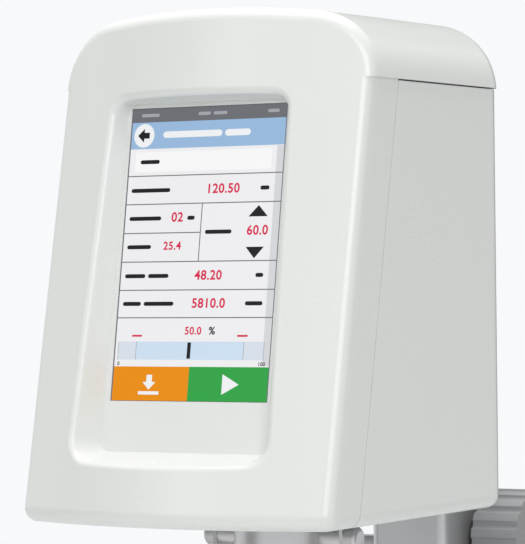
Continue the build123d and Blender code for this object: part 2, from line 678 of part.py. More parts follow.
with BuildPart() as lcd_bracket:
    with BuildSketch(SCREEN_PLANE.offset(-lcd_back)):
        Rectangle(SCREEN_WIDTH + 2 * LCD_MARGIN, SCREEN_HEIGHT + 2 * LCD_MARGIN)
        Rectangle(SCREEN_WIDTH - 2 * LCD_MARGIN, SCREEN_HEIGHT - 2 * LCD_MARGIN, mode=Mode.SUBTRACT)
        Rectangle(SCREEN_WIDTH, 2 * LCD_MARGIN)
    extrude(amount=-BRACKET_THICKNESS / 2)
save(lcd_bracket, "lcd_bracket")

# ---------------------------------------------------------------- drive frame
frame_spots = [
    (x, y)
    for x in (PILLAR_INSET - FRAME_LEFT, FRAME_RIGHT - PILLAR_INSET)
    for y in (PILLAR_INSET - FRAME_HALF_DEPTH, FRAME_HALF_DEPTH - PILLAR_INSET)
]
with BuildPart() as frame_pillars:
    with BuildSketch(flat(HEAD_BOTTOM + PLATE_THICKNESS)):
        with Locations(*frame_spots):
            RegularPolygon(PILLAR_RADIUS, 6)
    extrude(amount=FRAME_HEIGHT - PLATE_THICKNESS)
save(frame_pillars, "frame_pillars")

with BuildPart() as frame_plate:
    with BuildSketch(flat(HEAD_BOTTOM + FRAME_HEIGHT)) as plate_outline:
        with Locations(((FRAME_RIGHT - FRAME_LEFT) / 2, 0)):
            RectangleRounded(FRAME_LEFT + FRAME_RIGHT, 2 * FRAME_HALF_DEPTH, PILLAR_INSET)
        Circle(BEARING_RADIUS, mode=Mode.SUBTRACT)
        with Locations((MOTOR_X, 0)):
            Circle(MOTOR_SHAFT_RADIUS + 1, mode=Mode.SUBTRACT)
        with Locations(*frame_spots):
            Circle(COVER_SCREW_RADIUS + SCREW_GAP, mode=Mode.SUBTRACT)
    extrude(amount=FRAME_PLATE_THICKNESS)
save(frame_plate, "frame_plate")

frame_screws = screw(flat(FRAME_TOP), frame_spots, COVER_SCREW_HEAD_RADIUS,
                     COVER_SCREW_HEAD_LENGTH, COVER_SCREW_RADIUS, FRAME_PLATE_THICKNESS)
save(frame_screws, "frame_screws")

with BuildPart() as drive_motor:
    with BuildSketch(flat(HEAD_BOTTOM + FRAME_HEIGHT)):
        with Locations((MOTOR_X, 0)):
            Circle(MOTOR_RADIUS)
    extrude(amount=-MOTOR_LENGTH)
    fillet(drive_motor.faces().sort_by(Axis.Z)[0].edges(), MOTOR_EDGE_RADIUS)
    with BuildSketch(flat(HEAD_BOTTOM + FRAME_HEIGHT)):
        with Locations((MOTOR_X, 0)):
            Circle(MOTOR_SHAFT_RADIUS + SLIP_GAP)
    extrude(amount=-MOTOR_LENGTH / 2, mode=Mode.SUBTRACT)
save(drive_motor, "drive_motor")

with BuildPart() as motor_pinion:
    with BuildSketch(flat(GEAR_Z)):
        with Locations((MOTOR_X, 0)):
            Polygon(*gear_points(GEAR_MODULE, MOTOR_TEETH, GEAR_BACKLASH), align=None,
                    rotation=180 / MOTOR_TEETH)
    extrude(amount=GEAR_THICKNESS)
    with BuildSketch(flat(GEAR_Z + GEAR_THICKNESS)):
        with Locations((MOTOR_X, 0)):
            Circle(GEAR_MODULE * MOTOR_TEETH / 3)
    extrude(amount=GEAR_ABOVE_PLATE)
    with BuildSketch(flat(HEAD_BOTTOM + FRAME_HEIGHT - MOTOR_LENGTH / 2 + SLIP_GAP)):
        with Locations((MOTOR_X, 0)):
            Circle(MOTOR_SHAFT_RADIUS)
    extrude(amount=MOTOR_LENGTH / 2 - SLIP_GAP + FRAME_PLATE_THICKNESS + GEAR_ABOVE_PLATE)
save(motor_pinion, "motor_pinion")

with BuildPart() as sleeve_bearing:
    with BuildSketch(flat(HEAD_BOTTOM + FRAME_HEIGHT)):
        Circle(BEARING_RADIUS)
        Circle(SLEEVE_RADIUS + RUNNING_GAP, mode=Mode.SUBTRACT)
    extrude(amount=FRAME_PLATE_THICKNESS)
    chamfer(sleeve_bearing.edges().filter_by(GeomType.CIRCLE), 0.3)
save(sleeve_bearing, "sleeve_bearing")

with BuildPart() as drive_sleeve:
    with BuildSketch(flat(HEAD_BOTTOM + SLEEVE_BOTTOM)):
        Circle(SLEEVE_RADIUS)
    extrude(amount=GEAR_Z + GEAR_THICKNESS + GEAR_ABOVE_PLATE - HEAD_BOTTOM - SLEEVE_BOTTOM)
    with BuildSketch(flat(HEAD_BOTTOM + SLEEVE_BOTTOM)):
        Circle(PIVOT_RADIUS + SLIP_GAP)
    extrude(amount=PIVOT_TOP - SLEEVE_BOTTOM + 1, mode=Mode.SUBTRACT)
save(drive_sleeve, "drive_sleeve")

with BuildPart() as drive_gear:
    with BuildSketch(flat(GEAR_Z)):
        Polygon(*gear_points(GEAR_MODULE, DRIVE_TEETH, GEAR_BACKLASH), align=None)
        Circle(SLEEVE_RADIUS, mode=Mode.SUBTRACT)
        with PolarLocations((SLEEVE_RADIUS + GEAR_MODULE * DRIVE_TEETH / 2) / 2, 5):
            Circle(GEAR_MODULE * DRIVE_TEETH / 9, mode=Mode.SUBTRACT)
    extrude(amount=GEAR_THICKNESS)
save(drive_gear, "drive_gear")


def slotted_disc(height, bore, hub_radius, hub_length):
    """Thin encoder disc with slots near its rim and a hub around its bore."""
    with BuildPart() as disc:
        with BuildSketch(flat(HEAD_BOTTOM + height)):
            Circle(DISC_RADIUS)
            Circle(bore, mode=Mode.SUBTRACT)
            with PolarLocations(DISC_RADIUS - SLOT_INSET, DISC_SLOTS):
                Rectangle(SLOT_LENGTH, SLOT_WIDTH, mode=Mode.SUBTRACT)
        extrude(amount=DISC_THICKNESS)
        with BuildSketch(flat(HEAD_BOTTOM + height)):
            Circle(hub_radius)
            Circle(bore, mode=Mode.SUBTRACT)
        extrude(amount=hub_length)
    return disc


upper_disc_blank = slotted_disc(UPPER_DISC_HEIGHT, SLEEVE_RADIUS, SLEEVE_RADIUS + HUB_WALL, HUB_LENGTH)
with BuildPart() as upper_disc:
    add(upper_disc_blank.part)
    # post that holds the outer end of the torsion spring
    with BuildSketch(flat(HEAD_BOTTOM + SPRING_HEIGHT)):
        with Locations((SPRING_OUTER + SPRING_THICKNESS + SPRING_POST_RADIUS, 0)):
            Circle(SPRING_POST_RADIUS)
    extrude(amount=UPPER_DISC_HEIGHT - SPRING_HEIGHT)
save(upper_disc, "upper_encoder_disc")

# its long hub reaches up through the middle of the spring
lower_disc = slotted_disc(LOWER_DISC_HEIGHT, PIVOT_RADIUS, PIVOT_RADIUS + HUB_WALL,
                          SPRING_HEIGHT + SPRING_STRIP - LOWER_DISC_HEIGHT)
save(lower_disc, "lower_encoder_disc")

with BuildPart() as torsion_spring:
    with BuildSketch(flat(HEAD_BOTTOM + SPRING_HEIGHT)):
        with BuildLine():
            coil = []
            for step in range(SPRING_TURNS * 8 + 1):
                turn = 2 * math.pi * step / 8
                radius = SPRING_OUTER - (SPRING_OUTER - SPRING_INNER) * step / (SPRING_TURNS * 8)
                coil.append((radius * math.cos(turn), radius * math.sin(turn)))
            Spline(*coil)
        trace(line_width=SPRING_THICKNESS)
    extrude(amount=SPRING_STRIP)
save(torsion_spring, "torsion_spring")

with BuildPart() as optical_sensors:
    post = DISC_RADIUS + SENSOR_OUTSIDE
    with BuildSketch(flat(HEAD_BOTTOM + PLATE_THICKNESS)):
        with Locations((0, -post)):
            Rectangle(SENSOR_WIDTH, SENSOR_DEPTH)
    extrude(amount=UPPER_DISC_HEIGHT - PLATE_THICKNESS + SENSOR_TOP)
    for height in (LOWER_DISC_HEIGHT, UPPER_DISC_HEIGHT):
        with BuildSketch(flat(HEAD_BOTTOM + height - SENSOR_ARM_THICKNESS)):
            with Locations((0, (SENSOR_REACH - SENSOR_OUTSIDE) / 2 - DISC_RADIUS)):
                Rectangle(SENSOR_WIDTH, SENSOR_REACH + SENSOR_OUTSIDE)
        extrude(amount=DISC_THICKNESS + 2 * SENSOR_ARM_THICKNESS)
        with BuildSketch(flat(HEAD_BOTTOM + height - SENSOR_HEADROOM)):
            with Locations((0, SENSOR_REACH - DISC_RADIUS)):
                Rectangle(2 * SENSOR_WIDTH, 2 * (SENSOR_REACH + SENSOR_RIM_GAP))
        extrude(amount=DISC_THICKNESS + 2 * SENSOR_HEADROOM, mode=Mode.SUBTRACT)
save(optical_sensors, "optical_sensors")

# ---------------------------------------------------------------- pivot and measuring system
with BuildPart() as pivot_shaft:
    with BuildSketch(flat(HEAD_BOTTOM - PIVOT_DROP)):
        Circle(PIVOT_RADIUS)
    extrude(amount=PIVOT_DROP + PIVOT_TOP)
    chamfer(pivot_shaft.faces().sort_by(Axis.Z)[-1].edges(), 0.8)
save(pivot_shaft, "pivot_shaft")

with BuildPart() as pivot_cup:
    with BuildSketch(facing_right(0, SPINDLE_Y, HEAD_BOTTOM)):
        with BuildLine():
            Polyline(
                (PIVOT_RADIUS + 1, -CUP_DEPTH),
                (CUP_RADIUS - CUP_CHAMFER, -CUP_DEPTH),
                (CUP_RADIUS, CUP_CHAMFER - CUP_DEPTH),
                (CUP_RADIUS, 0),
                (CUP_RADIUS - CUP_WALL, 0),
                (CUP_RADIUS - CUP_WALL, CUP_WALL + CUP_FLOOR_EXTRA - CUP_DEPTH),
                (JEWEL_RADIUS, CUP_WALL + CUP_FLOOR_EXTRA - CUP_DEPTH),
                (JEWEL_RADIUS, -CUP_DEPTH + CUP_WALL),
                (PIVOT_RADIUS + 1, -CUP_DEPTH + CUP_WALL),
                close=True,
            )
        make_face()
    revolve(axis=Axis((0, SPINDLE_Y, 0), (0, 0, 1)))
    # standoffs that the guard leg is screwed to
    for plane in (facing_right, facing_left):
        way = 1 if plane is facing_right else -1
        with BuildSketch(plane(way * (CUP_RADIUS - CUP_WALL / 2), SPINDLE_Y, GUARD_Z)):
            Circle(STANDOFF_RADIUS)
        extrude(amount=GUARD_HALF_WIDTH - GUARD_THICKNESS / 2 - CUP_RADIUS + CUP_WALL / 2)
        with BuildSketch(plane(way * (CUP_RADIUS - CUP_WALL), SPINDLE_Y, GUARD_Z)):
            Circle(GUARD_SCREW_RADIUS)
        extrude(amount=GUARD_HALF_WIDTH, mode=Mode.SUBTRACT)
save(pivot_cup, "pivot_cup")

with BuildPart() as jewel_bearing:
    with BuildSketch(flat(HEAD_BOTTOM - CUP_DEPTH + CUP_WALL)):
        Circle(JEWEL_RADIUS)
        Circle(PIVOT_RADIUS + RUNNING_GAP, mode=Mode.SUBTRACT)
    extrude(amount=JEWEL_THICKNESS)
save(jewel_bearing, "jewel_bearing")

with BuildPart() as spindle_coupling:
    with BuildSketch(flat(COUPLING_TOP)):
        Circle(COUPLING_RADIUS)
        with PolarLocations(COUPLING_RADIUS, COUPLING_GROOVES):
            Circle(COUPLING_GROOVE_RADIUS, mode=Mode.SUBTRACT)
    extrude(amount=-COUPLING_LENGTH)
    with BuildSketch(flat(COUPLING_TOP)):
        Circle(PIVOT_RADIUS)
    extrude(amount=HEAD_BOTTOM - PIVOT_DROP - COUPLING_TOP, mode=Mode.SUBTRACT)
save(spindle_coupling, "spindle_coupling")

with BuildPart() as spindle:
    with BuildSketch(facing_right(0, SPINDLE_Y, 0)):
        with BuildLine():
            Polyline(
                (0, COUPLING_TOP - COUPLING_LENGTH),
                (SPINDLE_SHAFT_RADIUS, COUPLING_TOP - COUPLING_LENGTH),
                (SPINDLE_SHAFT_RADIUS, BOB_TOP + SPINDLE_TIP),
                (SPINDLE_BOB_RADIUS, BOB_TOP),
                (SPINDLE_BOB_RADIUS, BOB_BOTTOM),
                (SPINDLE_SHAFT_RADIUS, BOB_BOTTOM - SPINDLE_TIP),
                (0, BOB_BOTTOM - SPINDLE_TIP),
                close=True,
            )
        make_face()
    revolve(axis=Axis((0, SPINDLE_Y, 0), (0, 0, 1)))
save(spindle, "spindle")

guard_top = GUARD_Z + GUARD_STRIP * 0.85
with BuildPart() as guard_leg:
    with BuildSketch(facing_front(SPINDLE_Y)):
        with BuildLine() as strap:
            FilletPolyline(
                (-GUARD_HALF_WIDTH, guard_top),
                (-GUARD_HALF_WIDTH, GUARD_BOTTOM),
                (GUARD_HALF_WIDTH, GUARD_BOTTOM),
                (GUARD_HALF_WIDTH, guard_top),
                radius=GUARD_BEND,
            )
        trace(line_width=GUARD_THICKNESS)
    extrude(amount=GUARD_STRIP / 2, both=True)
    with BuildSketch(facing_right(0, SPINDLE_Y, GUARD_Z)):
        Circle(GUARD_SCREW_RADIUS + SCREW_GAP)
    extrude(amount=2 * GUARD_HALF_WIDTH, both=True, mode=Mode.SUBTRACT)
save(guard_leg, "guard_leg")

guard_outside = GUARD_HALF_WIDTH + GUARD_THICKNESS / 2
with BuildPart() as guard_screws:
    for plane, way in ((facing_right, 1), (facing_left, -1)):
        add(screw(plane(way * guard_outside, SPINDLE_Y, GUARD_Z), [(0, 0)], GUARD_SCREW_HEAD_RADIUS,
                  GUARD_SCREW_HEAD_LENGTH, GUARD_SCREW_RADIUS - RUNNING_GAP,
                  guard_outside - CUP_RADIUS + CUP_WALL / 2).part)
save(guard_screws, "guard_screws")

# ---------------------------------------------------------------- back panel and board
with BuildPart() as power_inlet:
    with BuildSketch(facing_back(BACK_Y, INLET_X, HEAD_BOTTOM + INLET_Z)):
        RectangleRounded(INLET_BODY_WIDTH + 2 * INLET_EAR, INLET_BODY_HEIGHT + 2 * FITTING_FLANGE,
                         INLET_CORNER_RADIUS)
    extrude(amount=FITTING_FLANGE)
    fillet(power_inlet.faces().sort_by(Axis.Y)[-1].edges(), INLET_EDGE_RADIUS)
    with BuildSketch(facing_back(BACK_Y, INLET_X, HEAD_BOTTOM + INLET_Z)):
        Rectangle(INLET_BODY_WIDTH, INLET_BODY_HEIGHT)
    extrude(amount=-INLET_DEPTH)
    with BuildSketch(facing_back(BACK_Y + FITTING_FLANGE, INLET_X, HEAD_BOTTOM + INLET_Z)) as mouth_shape:
        Rectangle(INLET_BODY_WIDTH - 2 * INLET_SIDE_WALL, INLET_BODY_HEIGHT - 2 * INLET_END_WALL)
        chamfer(mouth_shape.vertices().group_by(Axis.Y)[-1], INLET_CHAMFER)
    extrude(amount=-INLET_CAVITY_DEPTH, mode=Mode.SUBTRACT)
    with BuildSketch(facing_back(BACK_Y + FITTING_FLANGE - INLET_CAVITY_DEPTH, INLET_X,
                                 HEAD_BOTTOM + INLET_Z)):
        with Locations(*PIN_SPOTS):
            Rectangle(PIN_WIDTH, PIN_HEIGHT)
    extrude(amount=INLET_CAVITY_DEPTH - PIN_SHORT)
save(power_inlet, "power_inlet")

with BuildPart() as switch_frame:
    switch_spot = facing_back(BACK_Y, SWITCH_X, HEAD_BOTTOM + SWITCH_Z)
    with BuildSketch(switch_spot):
        RectangleRounded(SWITCH_WIDTH + 2 * FITTING_FLANGE, SWITCH_HEIGHT + 2 * FITTING_FLANGE,
                         FITTING_CORNER_RADIUS)
    extrude(amount=FITTING_FLANGE)
    with BuildSketch(switch_spot):
        Rectangle(SWITCH_WIDTH, SWITCH_HEIGHT)
    extrude(amount=-SWITCH_DEPTH)
    with BuildSketch(switch_spot.offset(FITTING_FLANGE)):
        Rectangle(SWITCH_WIDTH - 2 * SWITCH_WALL, SWITCH_HEIGHT - 2 * SWITCH_WALL)
    extrude(amount=-SWITCH_DEPTH / 2, mode=Mode.SUBTRACT)
save(switch_frame, "switch_frame")

rocker_half = SWITCH_HEIGHT / 2 - SWITCH_WALL - 2 * SLIP_GAP
rocker_tilt = math.radians(ROCKER_TILT)
rocker_plane = Plane(
    origin=(SWITCH_X, BACK_Y + FITTING_FLANGE / 2, HEAD_BOTTOM + SWITCH_Z),
    x_dir=(0, math.cos(rocker_tilt), math.sin(rocker_tilt)),
    z_dir=(1, 0, 0),
)
with BuildPart() as power_rocker:
    with BuildSketch(rocker_plane):
        with BuildLine():
            ThreePointArc((ROCKER_RISE, -rocker_half), (ROCKER_DIP, 0), (ROCKER_RISE, rocker_half))
            Polyline(
                (ROCKER_RISE, rocker_half),
                (0, rocker_half),
                (-ROCKER_DEPTH, 0),
                (0, -rocker_half),
                (ROCKER_RISE, -rocker_half),
            )
        make_face()
    extrude(amount=SWITCH_WIDTH / 2 - SWITCH_WALL - SLIP_GAP, both=True)
save(power_rocker, "power_rocker")

with BuildPart() as data_port:
    data_spot = facing_back(BACK_Y, DATA_X, HEAD_BOTTOM + DATA_Z)
    with BuildSketch(data_spot):
        RectangleRounded(DATA_WIDTH + 2 * DATA_EAR, DATA_HEIGHT + 2 * FITTING_CORNER_RADIUS,
                         FITTING_CORNER_RADIUS)
    extrude(amount=FITTING_FLANGE / 2)
    with BuildSketch(data_spot):
        Rectangle(DATA_WIDTH, DATA_HEIGHT)
    extrude(amount=-SWITCH_DEPTH)
    with BuildSketch(data_spot.offset(FITTING_FLANGE / 2)) as shell_shape:
        Trapezoid(DATA_WIDTH - DATA_SHELL_GAP, DATA_HEIGHT - 2 * DATA_SHELL_GAP, DATA_SHELL_ANGLE,
                  rotation=180)
        fillet(shell_shape.vertices(), FITTING_CORNER_RADIUS)
    extrude(amount=DATA_SHELL_LENGTH)
    with BuildSketch(data_spot.offset(FITTING_FLANGE / 2 + DATA_SHELL_LENGTH)):
        for row, count in ((CONTACT_ROW, 5), (-CONTACT_ROW, 4)):
            with Locations((0, row)):
                with GridLocations(CONTACT_PITCH, 1, count, 1):
                    Circle(CONTACT_RADIUS)
    extrude(amount=-CONTACT_DEPTH, mode=Mode.SUBTRACT)
    with BuildSketch(data_spot.offset(FITTING_FLANGE / 2)):
        with GridLocations(DATA_NUT_SPACING, 1, 2, 1):
            RegularPolygon(DATA_NUT_RADIUS, 6)
    extrude(amount=DATA_NUT_HEIGHT)
save(data_port, "data_port")

with BuildPart() as probe_socket:
    probe_spot = facing_back(BACK_Y, PROBE_X, HEAD_BOTTOM + PROBE_Z)
    with BuildSketch(probe_spot):
        Circle(PROBE_RADIUS)
    extrude(amount=-SWITCH_DEPTH)
    with BuildSketch(probe_spot):
        Circle(PROBE_RADIUS + PROBE_FLANGE)
    extrude(amount=PROBE_FLANGE)
    chamfer(probe_socket.faces().sort_by(Axis.Y)[-1].edges(), PROBE_CHAMFER)
    with BuildSketch(probe_spot.offset(PROBE_FLANGE)):
        with PolarLocations(PROBE_CONTACT_CIRCLE, 4):
            Circle(CONTACT_RADIUS)
    extrude(amount=-CONTACT_DEPTH, mode=Mode.SUBTRACT)
save(probe_socket, "probe_socket")

board_spots = [
    (x, z)
    for x in (BOARD_POST_INSET - BOARD_WIDTH / 2, BOARD_WIDTH / 2 - BOARD_POST_INSET)
    for z in (BOARD_BOTTOM + BOARD_POST_INSET, BOARD_BOTTOM + BOARD_HEIGHT - BOARD_POST_INSET)
]
board_back = BACK_Y - HEAD_WALL - BOARD_STANDOFF
with BuildPart() as main_board:
    with BuildSketch(facing_front(board_back, z=HEAD_BOTTOM + BOARD_BOTTOM + BOARD_HEIGHT / 2)):
        Rectangle(BOARD_WIDTH, BOARD_HEIGHT)
    extrude(amount=BOARD_THICKNESS)
    with BuildSketch(facing_front(board_back - BOARD_THICKNESS,
                                  z=HEAD_BOTTOM + BOARD_BOTTOM + BOARD_HEIGHT / 2)):
        with Locations((CHIP_X, BOARD_HEIGHT / 2 - CHIP_DROP)):
            Rectangle(CHIP_SIZE, CHIP_SIZE)
        with Locations((REGULATOR_X, BOARD_HEIGHT / 2 - REGULATOR_DROP)):
            Rectangle(REGULATOR_WIDTH, REGULATOR_HEIGHT)
        with Locations((0, HEADER_RISE - BOARD_HEIGHT / 2)):
            Rectangle(HEADER_WIDTH, HEADER_HEIGHT)
    extrude(amount=CHIP_HEIGHT)
save(main_board, "main_board")

with BuildPart() as board_posts:
    with BuildSketch(facing_front(BACK_Y - HEAD_WALL, z=HEAD_BOTTOM)):
        with Locations(*board_spots):
            RegularPolygon(BOARD_POST_RADIUS, 6)
    extrude(amount=BOARD_STANDOFF)
save(board_posts, "board_posts")

# ---------------------------------------------------------------- support arm and carriage
with BuildPart() as rear_bracket:
    wall_y = BACK_Y - HEAD_WALL
    foot_y = BACK_Y - RIM_INSET - 2 * SLIP_GAP
    with BuildSketch(facing_right(-HEAD_FLANGE_HALF_WIDTH, 0, HEAD_BOTTOM)):
        Polygon(
            (foot_y - FLANGE_MARGIN * 2, PLATE_THICKNESS),
            (foot_y, PLATE_THICKNESS),
            (foot_y, RIM_HEIGHT + SLIP_GAP),
            (wall_y, RIM_HEIGHT + SLIP_GAP),
            (wall_y, FLANGE_TOP),
            (wall_y - BRACKET_THICKNESS, FLANGE_TOP),
            (wall_y - BRACKET_THICKNESS, RIM_HEIGHT + BRACKET_THICKNESS),
            (foot_y - FLANGE_MARGIN * 2, PLATE_THICKNESS + BRACKET_THICKNESS),
            align=None,
        )
    extrude(amount=2 * HEAD_FLANGE_HALF_WIDTH)
    with BuildSketch(facing_back(BACK_Y, z=HEAD_BOTTOM)):
        with Locations(*ARM_SPOTS):
            Circle(ARM_SCREW_RADIUS)
    extrude(amount=-RIM_INSET, mode=Mode.SUBTRACT)
save(rear_bracket, "rear_bracket")

with BuildPart() as support_arm:
    with BuildSketch(facing_back(BACK_Y, z=HEAD_BOTTOM + (RIM_HEIGHT + FLANGE_TOP) / 2)) as head_flange:
        RectangleRounded(2 * HEAD_FLANGE_HALF_WIDTH, FLANGE_TOP - RIM_HEIGHT, ARM_CORNER_RADIUS)
    extrude(amount=FLANGE_THICKNESS)
    with BuildSketch(facing_front(CARRIAGE_FRONT_Y, z=HEAD_BOTTOM + (FLANGE_BOTTOM + FLANGE_TOP) / 2)):
        RectangleRounded(2 * CARRIAGE_HALF_WIDTH, FLANGE_TOP - FLANGE_BOTTOM, ARM_CORNER_RADIUS)
    extrude(amount=FLANGE_THICKNESS)
    with BuildSketch(facing_back(BACK_Y + FLANGE_THICKNESS, z=HEAD_BOTTOM + (ARM_BOTTOM + ARM_TOP) / 2)):
        RectangleRounded(2 * ARM_HALF_WIDTH, ARM_HEIGHT, ARM_CORNER_RADIUS)
    extrude(amount=CARRIAGE_FRONT_Y - BACK_Y - 2 * FLANGE_THICKNESS)
    with BuildSketch(facing_back(BACK_Y - 1, z=HEAD_BOTTOM)):
        with Locations(*ARM_SPOTS):
            Circle(ARM_SCREW_RADIUS + SCREW_GAP)
    extrude(amount=FLANGE_THICKNESS + 2, mode=Mode.SUBTRACT)
    with BuildSketch(facing_back(CARRIAGE_FRONT_Y - FLANGE_THICKNESS - 1, z=HEAD_BOTTOM)):
        with Locations(*CARRIAGE_SPOTS):
            Circle(ARM_SCREW_RADIUS + SCREW_GAP)
    extrude(amount=FLANGE_THICKNESS + 2, mode=Mode.SUBTRACT)
save(support_arm, "support_arm")

arm_screws = screw(facing_back(BACK_Y + FLANGE_THICKNESS, z=HEAD_BOTTOM), ARM_SPOTS,
                   ARM_SCREW_HEAD_RADIUS, ARM_SCREW_HEAD_LENGTH, ARM_SCREW_RADIUS - RUNNING_GAP,
                   FLANGE_THICKNESS + HEAD_WALL + BRACKET_THICKNESS)
save(arm_screws, "arm_screws")

carriage_screws = screw(facing_front(CARRIAGE_FRONT_Y - FLANGE_THICKNESS, z=HEAD_BOTTOM), CARRIAGE_SPOTS,
                        ARM_SCREW_HEAD_RADIUS, ARM_SCREW_HEAD_LENGTH, ARM_SCREW_RADIUS - RUNNING_GAP,
                        FLANGE_THICKNESS + CARRIAGE_SCREW_DEPTH - SLIP_GAP)
save(carriage_screws, "carriage_screws")

carriage_bottom = HEAD_BOTTOM - CARRIAGE_BELOW
carriage_top = HEAD_BOTTOM + CARRIAGE_ABOVE
guide_radius = COLUMN_RADIUS + GUIDE_WALL
column_spot = (0, COLUMN_BEHIND)
with BuildPart() as carriage:
    with BuildSketch(flat(carriage_bottom)):
        with Locations((0, COLUMN_BEHIND + (CARRIAGE_BACK - CARRIAGE_FRONT) / 2)):
            RectangleRounded(2 * CARRIAGE_HALF_WIDTH, CARRIAGE_FRONT + CARRIAGE_BACK, CARRIAGE_CORNER)
    extrude(amount=carriage_top - carriage_bottom)
    chamfer(carriage.faces().sort_by(Axis.Z)[0].edges(), 1)
    chamfer(carriage.faces().sort_by(Axis.Z)[-1].edges(), 1)
    with BuildSketch(flat(carriage_bottom)):
        with Locations(column_spot):
            Circle(guide_radius)
    extrude(amount=carriage_top - carriage_bottom, mode=Mode.SUBTRACT)
    with BuildSketch(facing_right(-CHAMBER_HALF, PINION_Y, PINION_Z)):
        Circle(CHAMBER_RADIUS)
    extrude(amount=2 * CARRIAGE_HALF_WIDTH, mode=Mode.SUBTRACT)
    with BuildSketch(facing_left(0, PINION_Y, PINION_Z)):
        Circle(PINION_SHAFT_RADIUS + BUSH_WALL)
    extrude(amount=2 * CARRIAGE_HALF_WIDTH, mode=Mode.SUBTRACT)
    with BuildSketch(facing_left(0, COLUMN_Y, HEAD_BOTTOM - CLAMP_BELOW)):
        Circle(CLAMP_STUD_RADIUS + RUNNING_GAP)
    extrude(amount=2 * CARRIAGE_HALF_WIDTH, mode=Mode.SUBTRACT)
    with BuildSketch(facing_back(CARRIAGE_FRONT_Y, z=HEAD_BOTTOM)):
        with Locations(*CARRIAGE_SPOTS):
            Circle(ARM_SCREW_RADIUS)
    extrude(amount=CARRIAGE_SCREW_DEPTH, mode=Mode.SUBTRACT)
save(carriage, "carriage")

with BuildPart() as guide_bushes:
    for start in (carriage_bottom, carriage_top - GUIDE_LENGTH):
        with BuildSketch(flat(start)):
            with Locations(column_spot):
                Circle(guide_radius)
                Circle(COLUMN_RADIUS + RUNNING_GAP, mode=Mode.SUBTRACT)
        extrude(amount=GUIDE_LENGTH)
save(guide_bushes, "guide_bushes")

bush_face = CARRIAGE_HALF_WIDTH + BUSH_FLANGE
with BuildPart() as pinion_bushes:
    with BuildSketch(facing_right(CHAMBER_HALF, PINION_Y, PINION_Z)):
        Circle(CHAMBER_RADIUS)
        Circle(PINION_SHAFT_RADIUS + RUNNING_GAP, mode=Mode.SUBTRACT)
    extrude(amount=CARRIAGE_HALF_WIDTH - CHAMBER_HALF)
    with BuildSketch(facing_right(CARRIAGE_HALF_WIDTH, PINION_Y, PINION_Z)):
        Circle(CHAMBER_RADIUS + BUSH_FLANGE)
        Circle(PINION_SHAFT_RADIUS + RUNNING_GAP, mode=Mode.SUBTRACT)
    extrude(amount=BUSH_FLANGE)
    # the near bush is scalloped where it passes the column
    with BuildSketch(flat(carriage_bottom)):
        with Locations(column_spot):
            Circle(COLUMN_RADIUS + SLIP_GAP)
    extrude(amount=carriage_top - carriage_bottom, mode=Mode.SUBTRACT)
    with BuildSketch(facing_left(-CHAMBER_HALF, PINION_Y, PINION_Z)):
        Circle(PINION_SHAFT_RADIUS + BUSH_WALL)
        Circle(PINION_SHAFT_RADIUS + RUNNING_GAP, mode=Mode.SUBTRACT)
    extrude(amount=CARRIAGE_HALF_WIDTH - CHAMBER_HALF)
save(pinion_bushes, "pinion_bushes")

with BuildPart() as pinion_shaft:
    with BuildSketch(facing_right(-CARRIAGE_HALF_WIDTH + 1, PINION_Y, PINION_Z)):
        Circle(PINION_SHAFT_RADIUS)
    extrude(amount=CARRIAGE_HALF_WIDTH + KNOB_START + KNOB_LENGTH - KNOB_END_WALL)
    with BuildSketch(facing_right(-PINION_WIDTH / 2, PINION_Y, PINION_Z)):
        Polygon(*gear_points(RACK_MODULE, PINION_TEETH, RACK_BACKLASH), align=None, rotation=180)
    extrude(amount=PINION_WIDTH)
save(pinion_shaft, "pinion_shaft")

with BuildPart() as lift_knob:
    with BuildSketch(facing_right(KNOB_START, PINION_Y, PINION_Z)):
        Circle(KNOB_RADIUS)
        with PolarLocations(KNOB_RADIUS + KNOB_FLUTE_OUT, KNOB_FLUTES):
            Circle(KNOB_FLUTE_RADIUS, mode=Mode.SUBTRACT)
    extrude(amount=KNOB_LENGTH)
    with BuildSketch(facing_right(bush_face + SLIP_GAP, PINION_Y, PINION_Z)):
        Circle(PINION_SHAFT_RADIUS * 2)
    extrude(amount=KNOB_START - bush_face)
    with BuildSketch(facing_right(bush_face, PINION_Y, PINION_Z)):
        Circle(PINION_SHAFT_RADIUS)
    extrude(amount=KNOB_START + KNOB_LENGTH - KNOB_END_WALL - bush_face + 1, mode=Mode.SUBTRACT)
save(lift_knob, "lift_knob")

with BuildPart() as clamp_screw:
    with BuildSketch(facing_left(-COLUMN_RADIUS - SLIP_GAP, COLUMN_Y, HEAD_BOTTOM - CLAMP_BELOW)):
        Circle(CLAMP_STUD_RADIUS)
    extrude(amount=CARRIAGE_HALF_WIDTH - COLUMN_RADIUS + CLAMP_LENGTH)
    with BuildSketch(facing_left(-CARRIAGE_HALF_WIDTH - 2, COLUMN_Y, HEAD_BOTTOM - CLAMP_BELOW)):
        Circle(CLAMP_RADIUS)
        with PolarLocations(CLAMP_RADIUS + CLAMP_HOLLOW_OUT, CLAMP_LOBES):
            Circle(CLAMP_HOLLOW_RADIUS, mode=Mode.SUBTRACT)
    extrude(amount=CLAMP_LENGTH)
save(clamp_screw, "clamp_screw")

